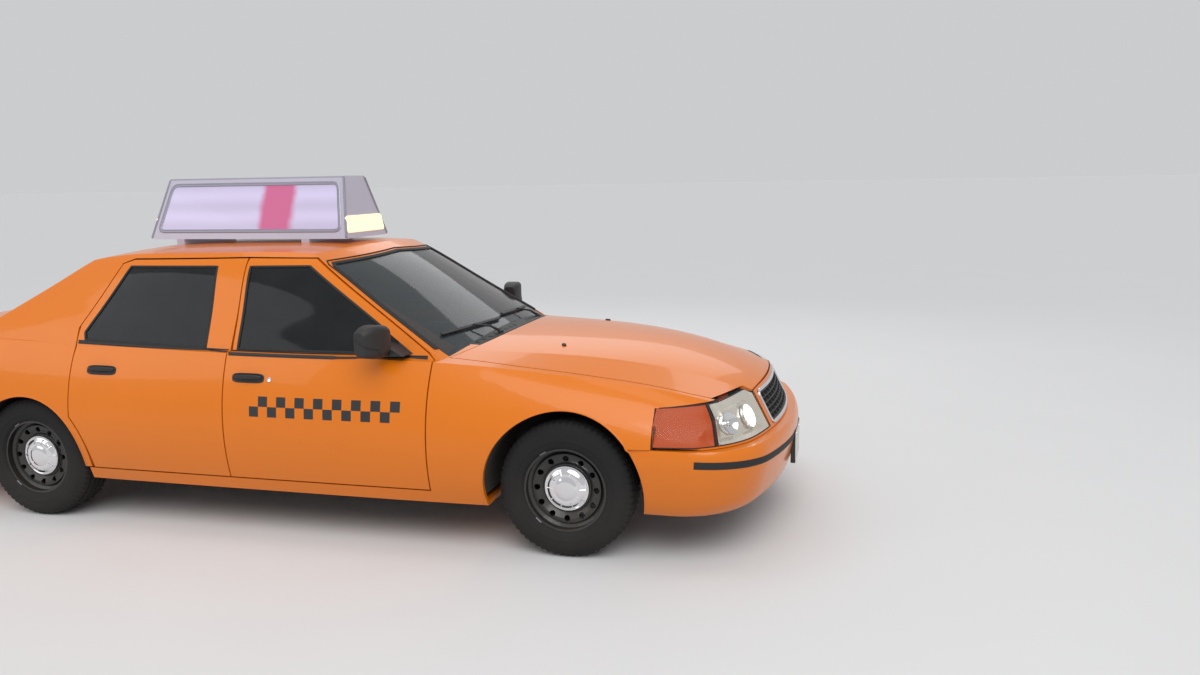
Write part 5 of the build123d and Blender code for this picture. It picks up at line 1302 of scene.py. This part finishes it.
SEWN_DEPTH = 0.010
SEAT_MIDDLE = 0.44
FRONT_CUSHIONS = (
    # place along the car, height, size, tilt, sewn channels, half length, crown
    (0.305, 0.478, (0.500, 0.470, 0.150), -5, (-0.5, 0.0, 0.5), 0.25, 0.016),
    (-0.020, 0.775, (0.560, 0.460, 0.130), 78, (-0.6, -0.2, 0.2), 0.28, 0.014),
)
BENCH_MIDDLES = (-0.32, 0.32)
BENCH_CUSHIONS = (
    (-0.685, 0.500, (0.500, 0.632, 0.170), -5, (-0.5, 0.0, 0.5), 0.25, 0.016),
    (-1.010, 0.740, (0.480, 0.632, 0.120), 74, (-0.5, 0.0, 0.5), 0.24, 0.014),
)
SEAT_FEET = ((0.12, -0.17), (0.12, 0.17), (0.50, -0.17), (0.50, 0.17))
SEAT_RUNNERS = (-0.17, 0.17)
HEAD_PINS = (-0.06, 0.06)


def quilted(channels, half_length, crown):
    """How a cushion's face swells between its sewn channels, which lie at shares of its length."""
    def shape(local, flat):
        if flat.z <= 0.2:
            return local
        swell = crown * (1 - abs(flat.x) ** 3) * (1 - abs(flat.y) ** 3)
        sewn = sum(SEWN_DEPTH * math.exp(-((local.x / half_length - share) / 0.045) ** 2)
                   for share in channels)
        sewn += SEWN_DEPTH * math.exp(-((abs(flat.y) - 0.66) / 0.05) ** 2)
        return local + Vector((0, 0, swell - sewn))
    return shape


def cushions_into(form, cushions, y, power):
    """Adds a seat's cushion and backrest at one place across the car."""
    for x, z, size, tilt, channels, half_length, crown in cushions:
        pad_into(form, (x, y, z), size, tilted(tilt), power=power, cuts=26,
                 shape=quilted(channels, half_length, crown))


class CAB_OT_seats(bpy.types.Operator):
    """Upholster the front seats and the rear bench"""
    bl_idname = "cab.seats"
    bl_label = "Seats"

    def execute(self, context):
        for side_name, side in SIDES:
            y = side * SEAT_MIDDLE
            form = bmesh.new()
            cushions_into(form, FRONT_CUSHIONS, y, 5)
            cushions = piece(f"front_cushions_{side_name}", form, "body", "vinyl", sharp=60)
            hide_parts("front_seats")
            head = bmesh.new()
            pad_into(head, (-0.052, y, 1.128), (0.100, 0.262, 0.150), tilted(-8), cuts=12)
            for pin in HEAD_PINS:
                bar_into(head, (-0.050, y + pin, 1.030), (-0.052, y + pin, 1.075), 0.006, material=1)
            finishes = ("vinyl", "chrome")
            restraint = piece(f"head_restraint_{side_name}", head, "body", finishes, sharp=60)
            base = bmesh.new()
            pad_into(base, (0.300, y, 0.372), (0.440, 0.420, 0.075), power=8, cuts=8)
            for x, out in SEAT_FEET:
                bar_into(base, (x, y + out, 0.305), (x, y + out, 0.345), 0.018, sides=8)
            for out in SEAT_RUNNERS:
                bar_into(base, (0.08, y + out, 0.318), (0.55, y + out, 0.318), 0.013, sides=8)
            piece(f"seat_base_{side_name}", base, "body", "black_plastic")
        bench = bmesh.new()
        for y in BENCH_MIDDLES:
            cushions_into(bench, BENCH_CUSHIONS, y, 6)
        rear = piece("rear_bench", bench, "body", "vinyl", sharp=60)
        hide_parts("rear_seat")
        return {"FINISHED"}


WHEEL_CENTRE = Vector((0.640, 0.370, 0.810))
WHEEL_TILT = math.radians(24)
WHEEL_RADIUS = 0.188
HUB_PROFILE = ((-0.014, 0.04), (-0.012, 0.062), (0.004, 0.070), (0.014, 0.062), (0.018, 0.03), (0.0185, 0))
SPOKE_ANGLES = (0, 180, 235, 305)


class CAB_OT_steering_wheel(bpy.types.Operator):
    """Make the padded steering wheel with its spokes and hub"""
    bl_idname = "cab.steering_wheel"
    bl_label = "Steering wheel"

    def execute(self, context):
        axis = Vector((-math.cos(WHEEL_TILT), 0, math.sin(WHEEL_TILT)))
        across = Vector((0, 1, 0))
        above = axis.cross(across)
        form = bmesh.new()
        rings = []
        for i in range(72):
            turn = math.tau * i / 72
            out = across * math.cos(turn) + above * math.sin(turn)
            grip = 0.0135 + 0.0006 * math.cos(turn * 24)
            ring = []
            for k in range(12):
                round_rim = math.tau * k / 12
                reach = out * (WHEEL_RADIUS + grip * math.cos(round_rim))
                ring.append(WHEEL_CENTRE + reach + axis * grip * math.sin(round_rim))
            rings.append(ring)
        rings_into(form, rings, closed_path=True)
        for degrees in SPOKE_ANGLES:
            turn = math.radians(degrees)
            out = (across * math.cos(turn) + above * math.sin(turn)).normalized()
            tip = WHEEL_CENTRE + out * 0.180 + axis * 0.002
            bar_into(form, WHEEL_CENTRE + out * 0.04, tip, 0.016, end_radius=0.010)
        turned_into(form, WHEEL_CENTRE, axis, HUB_PROFILE, sides=36)
        made = piece("padded_steering_wheel", form, "steering_wheel", "black_plastic")
        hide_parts("steering_wheel")
        return {"FINISHED"}


HOOD_SIZE = (0.150, 0.340, 0.045)
DIAL_MIDDLES = (0.30, 0.44)
DIAL_PROFILE = ((0, 0.052), (0.010, 0.052), (0.012, 0.049), (0.004, 0.046), (0.003, 0))
NEEDLE = Vector((0, -0.02, 0.028))
VENT_MIDDLES = (-0.58, -0.12, 0.12, 0.60)
VENT_SLAT_HALF = Vector((0, 0.045, 0))
CONSOLE_BLOCKS = (
    # height, size up and down
    (0.790, 0.045),
    (0.735, 0.040),
    (0.680, 0.045),
)
# right and lower edge, width, height
GLOVE_LID = (-0.58, 0.665, 0.36, 0.105)


class CAB_OT_dashboard(bpy.types.Operator):
    """Fit the instrument hood, dials, vents, radio and glove box lid to the dashboard"""
    bl_idname = "cab.dashboard"
    bl_label = "Dashboard"

    def execute(self, context):
        tree = tree_of("dashboard")
        form = bmesh.new()
        face = strike(tree, (0, 0.37, 0.845), (1, 0, 0))[0].x
        pad_into(form, (face + 0.030, 0.37, 0.915), HOOD_SIZE, tilted(4), power=5, cuts=12)
        for y in DIAL_MIDDLES:
            place, normal = strike(tree, (0, y, 0.850), (1, 0, 0))
            turned_into(form, place, normal, DIAL_PROFILE, sides=40, material=1)
            pivot = place + normal * 0.006
            bar_into(form, pivot, pivot + NEEDLE, 0.0015, sides=6, material=2)
        for y in VENT_MIDDLES:
            for k in range(5):
                place, normal = strike(tree, (0, y, 0.842 + 0.010 * k), (1, 0, 0))
                middle = place + normal * 0.002
                bar_into(form, middle - VENT_SLAT_HALF, middle + VENT_SLAT_HALF, 0.003, sides=6, material=1)
        for z, tall in CONSOLE_BLOCKS:
            place, normal = strike(tree, (0, 0, z), (1, 0, 0))
            turn = normal.to_track_quat("Z", "Y").to_matrix()
            pad_into(form, place, (0.20, tall, 0.018), turn, power=8, cuts=6, material=1)
        edge, foot, wide, high = GLOVE_LID
        grid = []
        for row in range(7):
            starts = [(0, edge + wide * column / 12, foot + high * row / 6) for column in range(13)]
            grid.append([strike(tree, start, (1, 0, 0)) for start in starts])
        sheet_into(form, grid, thick=0.004, lift=0.001)
        piece("dashboard_fittings", form, "body", ("black_plastic", "check_black", "lamp_lit"))
        return {"FINISHED"}


LININGS = (
    # piece, node, rear and front end, half width, height to look from, up or down, thickness, finish
    ("roof_lining", "roof", -0.80, 0.28, 0.50, 1.25, 1, 0.004, "cloth"),
    ("front_carpet", "floor_pan", -0.30, 0.80, 0.62, 0.80, -1, 0.006, "carpet"),
    ("rear_carpet", "floor_pan", -0.66, -0.36, 0.62, 0.80, -1, 0.006, "carpet"),
    ("boot_mat", "floor_pan", -2.45, -1.90, 0.60, 0.90, -1, 0.006, "carpet"),
)


class CAB_OT_lining(bpy.types.Operator):
    """Lay the roof lining, the carpet and the boot mat"""
    bl_idname = "cab.lining"
    bl_label = "Lining and carpet"

    def execute(self, context):
        for name, node, rear, front, half_width, start, up, thick, finish in LININGS:
            tree = tree_of(node)
            grid = []
            for row in range(25):
                x = rear + (front - rear) * row / 24
                widths = [half_width * (column / 20 - 1) for column in range(41)]
                places = [strike(tree, (x, y, start), (0, 0, up))[0] for y in widths]
                grid.append([(place, Vector((0, 0, -up))) for place in places])
            form = bmesh.new()
            sheet_into(form, grid, thick=thick, lift=0.001)
            piece(name, form, "body", finish)
        return {"FINISHED"}


FLAP_OUTLINE = ((-1.975, 0.790), (-1.815, 0.790), (-1.815, 0.930), (-1.975, 0.930))
GAP_SECTION = ((-0.0016, -0.001), (-0.0016, 0.0003), (0.0016, 0.0003), (0.0016, -0.001))


class CAB_OT_fuel_flap(bpy.types.Operator):
    """Outline the fuel flap on the right rear quarter"""
    bl_idname = "cab.fuel_flap"
    bl_label = "Fuel flap"

    def execute(self, context):
        tree = tree_of("quarter_right")
        skin = [beside(tree, p.x, p.y, -1) for p in round_along(rounded(FLAP_OUTLINE, 0.02), 0.012)]
        form = bmesh.new()
        strip_into(form, skin, GAP_SECTION, closed=True)
        piece("fuel_flap_gap", form, "body", "rubber")
        return {"FINISHED"}


CAMERA_PLACE = (3.0751, -5.2240, 1.8098)
CAMERA_YAW = 0.2616
CAMERA_PITCH = -0.160
CAMERA_ROLL = -0.0177
CAMERA_LENS = 29.38
EVEN_LIGHT = 1.3
EVEN_AIM = (math.radians(35), math.radians(18), 0)
STUDIO_LAMPS = (
    # name, place, target, size, power
    ("key", (4.5, -6.0, 5.5), (0.6, 0, 0.6), (5.0, 3.0), 78),
    ("fill", (-5.0, -5.5, 4.0), (-0.5, 0, 0.7), (5.0, 3.0), 52),
    ("back", (0.0, 6.5, 5.0), (0, 0, 0.8), (7.0, 2.5), 60),
    ("overhead", (0.3, -0.5, 6.0), (0.3, -0.4, 0), (6.5, 1.6), 34),
)
SUN_SPREAD = math.radians(50)
SKY = ((0.80, 0.82, 0.85, 1), 0.62)
BACKDROP = ((0.60, 0.605, 0.615, 1), 1.0)
FLOOR_REACH = 400
SENSOR_WIDTH = 36
CLIP_END = 1500


def light_world(scene):
    """Even light from all round, and a plain backdrop where the camera, a gloss or a glass shows it."""
    world = bpy.data.worlds.new("studio")
    world.use_nodes = True
    nodes, links = world.node_tree.nodes, world.node_tree.links
    path = nodes.new("ShaderNodeLightPath")
    seen = path.outputs["Is Camera Ray"]
    for kind in ("Is Glossy Ray", "Is Transmission Ray"):
        either = nodes.new("ShaderNodeMath")
        either.operation = "MAXIMUM"
        links.new(seen, either.inputs[0])
        links.new(path.outputs[kind], either.inputs[1])
        seen = either.outputs["Value"]
    light = nodes["Background"]
    set_sockets(light, {"Color": SKY[0], "Strength": SKY[1]})
    plain = add_node(nodes, "ShaderNodeBackground", {"Color": BACKDROP[0], "Strength": BACKDROP[1]})
    mix = nodes.new("ShaderNodeMixShader")
    links.new(seen, mix.inputs["Fac"])
    links.new(light.outputs["Background"], mix.inputs[1])
    links.new(plain.outputs["Background"], mix.inputs[2])
    links.new(mix.outputs["Shader"], nodes["World Output"].inputs["Surface"])
    scene.world = world


def lay_floor(scene):
    """A wide plain floor, which belongs to the stage and not to the cab."""
    mesh = bpy.data.meshes.new("studio_floor")
    form = bmesh.new()
    bmesh.ops.create_grid(form, x_segments=8, y_segments=8, size=FLOOR_REACH)
    form.to_mesh(mesh)
    form.free()
    floor = bpy.data.objects.new("studio_floor", mesh)
    scene.collection.objects.link(floor)
    colour = tuple(scene.cab_looks.floor_colour)
    mesh.materials.append(finish_of("studio_floor", colour, 0.75, grain=12, shift=0.02, bump=0.02))


def hang_lamps(scene):
    """Soft square lamps round the cab, and one broad even light from above."""
    for name, place, target, size, power in STUDIO_LAMPS:
        data = bpy.data.lights.new(name, "AREA")
        data.shape = "RECTANGLE"
        data.size, data.size_y = size
        data.energy = power
        lamp = bpy.data.objects.new(name, data)
        lamp.location = place
        lamp.rotation_euler = (Vector(target) - Vector(place)).to_track_quat("-Z", "Y").to_euler()
        scene.collection.objects.link(lamp)
    sun = bpy.data.lights.new("even_light", "SUN")
    sun.angle = SUN_SPREAD
    sun.energy = EVEN_LIGHT
    even = bpy.data.objects.new("even_light", sun)
    even.rotation_euler = EVEN_AIM
    scene.collection.objects.link(even)


def set_camera(scene):
    """The camera at the photograph's place and angle."""
    camera = bpy.data.objects.new("camera", bpy.data.cameras.new("camera"))
    camera.data.sensor_width = SENSOR_WIDTH
    camera.data.lens = CAMERA_LENS
    camera.data.clip_end = CLIP_END
    yaw, pitch, roll = CAMERA_YAW, CAMERA_PITCH, CAMERA_ROLL
    ahead = Vector((-math.sin(yaw) * math.cos(pitch), math.cos(yaw) * math.cos(pitch), math.sin(pitch)))
    level = ahead.cross(Vector((0, 0, 1))).normalized()
    above = level.cross(ahead)
    right = level * math.cos(roll) + above * math.sin(roll)
    up = above * math.cos(roll) - level * math.sin(roll)
    turn = Matrix((right, up, -ahead)).transposed().to_4x4()
    camera.matrix_world = Matrix.Translation(CAMERA_PLACE) @ turn
    scene.collection.objects.link(camera)
    scene.camera = camera


class CAB_OT_stage(bpy.types.Operator):
    """Set up the floor, the studio light and the camera"""
    bl_idname = "cab.stage"
    bl_label = "Stage"

    def execute(self, context):
        context.scene.view_settings.view_transform = "Standard"
        light_world(context.scene)
        lay_floor(context.scene)
        hang_lamps(context.scene)
        set_camera(context.scene)
        return {"FINISHED"}


class CAB_PT_looks(bpy.types.Panel):
    """The cab's colours, sizes and building steps"""
    bl_label = "Taxi cab"
    bl_idname = "CAB_PT_looks"
    bl_space_type = "VIEW_3D"
    bl_region_type = "UI"
    bl_category = "Cab"

    def draw(self, context):
        for name in CabLooks.__annotations__:
            self.layout.prop(context.scene.cab_looks, name)
        for step in STEPS:
            self.layout.operator(step.bl_idname)


STEPS = (
    CAB_OT_panels, CAB_OT_window_seals, CAB_OT_mouldings, CAB_OT_screen_surrounds, CAB_OT_arch_lips,
    CAB_OT_handles, CAB_OT_headlamps, CAB_OT_tail_lamps, CAB_OT_grille_trim, CAB_OT_bumper_strips,
    CAB_OT_plates, CAB_OT_tyres, CAB_OT_hub_caps, CAB_OT_brakes, CAB_OT_wipers, CAB_OT_checker_band,
    CAB_OT_roof_sign, CAB_OT_mirror_glass, CAB_OT_door_cards, CAB_OT_seats, CAB_OT_steering_wheel,
    CAB_OT_dashboard, CAB_OT_lining, CAB_OT_fuel_flap, CAB_OT_stage,
)
CLASSES = (CabLooks, *STEPS, CAB_PT_looks)


def register():
    for item in CLASSES:
        bpy.utils.register_class(item)
    bpy.types.Scene.cab_looks = PointerProperty(type=CabLooks)


def unregister():
    del bpy.types.Scene.cab_looks
    for item in reversed(CLASSES):
        bpy.utils.unregister_class(item)


def main():
    """Builds the cab's looks step by step."""
    register()
    for step in STEPS:
        group, call = step.bl_idname.split(".")
        getattr(getattr(bpy.ops, group), call)()


if __name__ == "__main__":
    main()
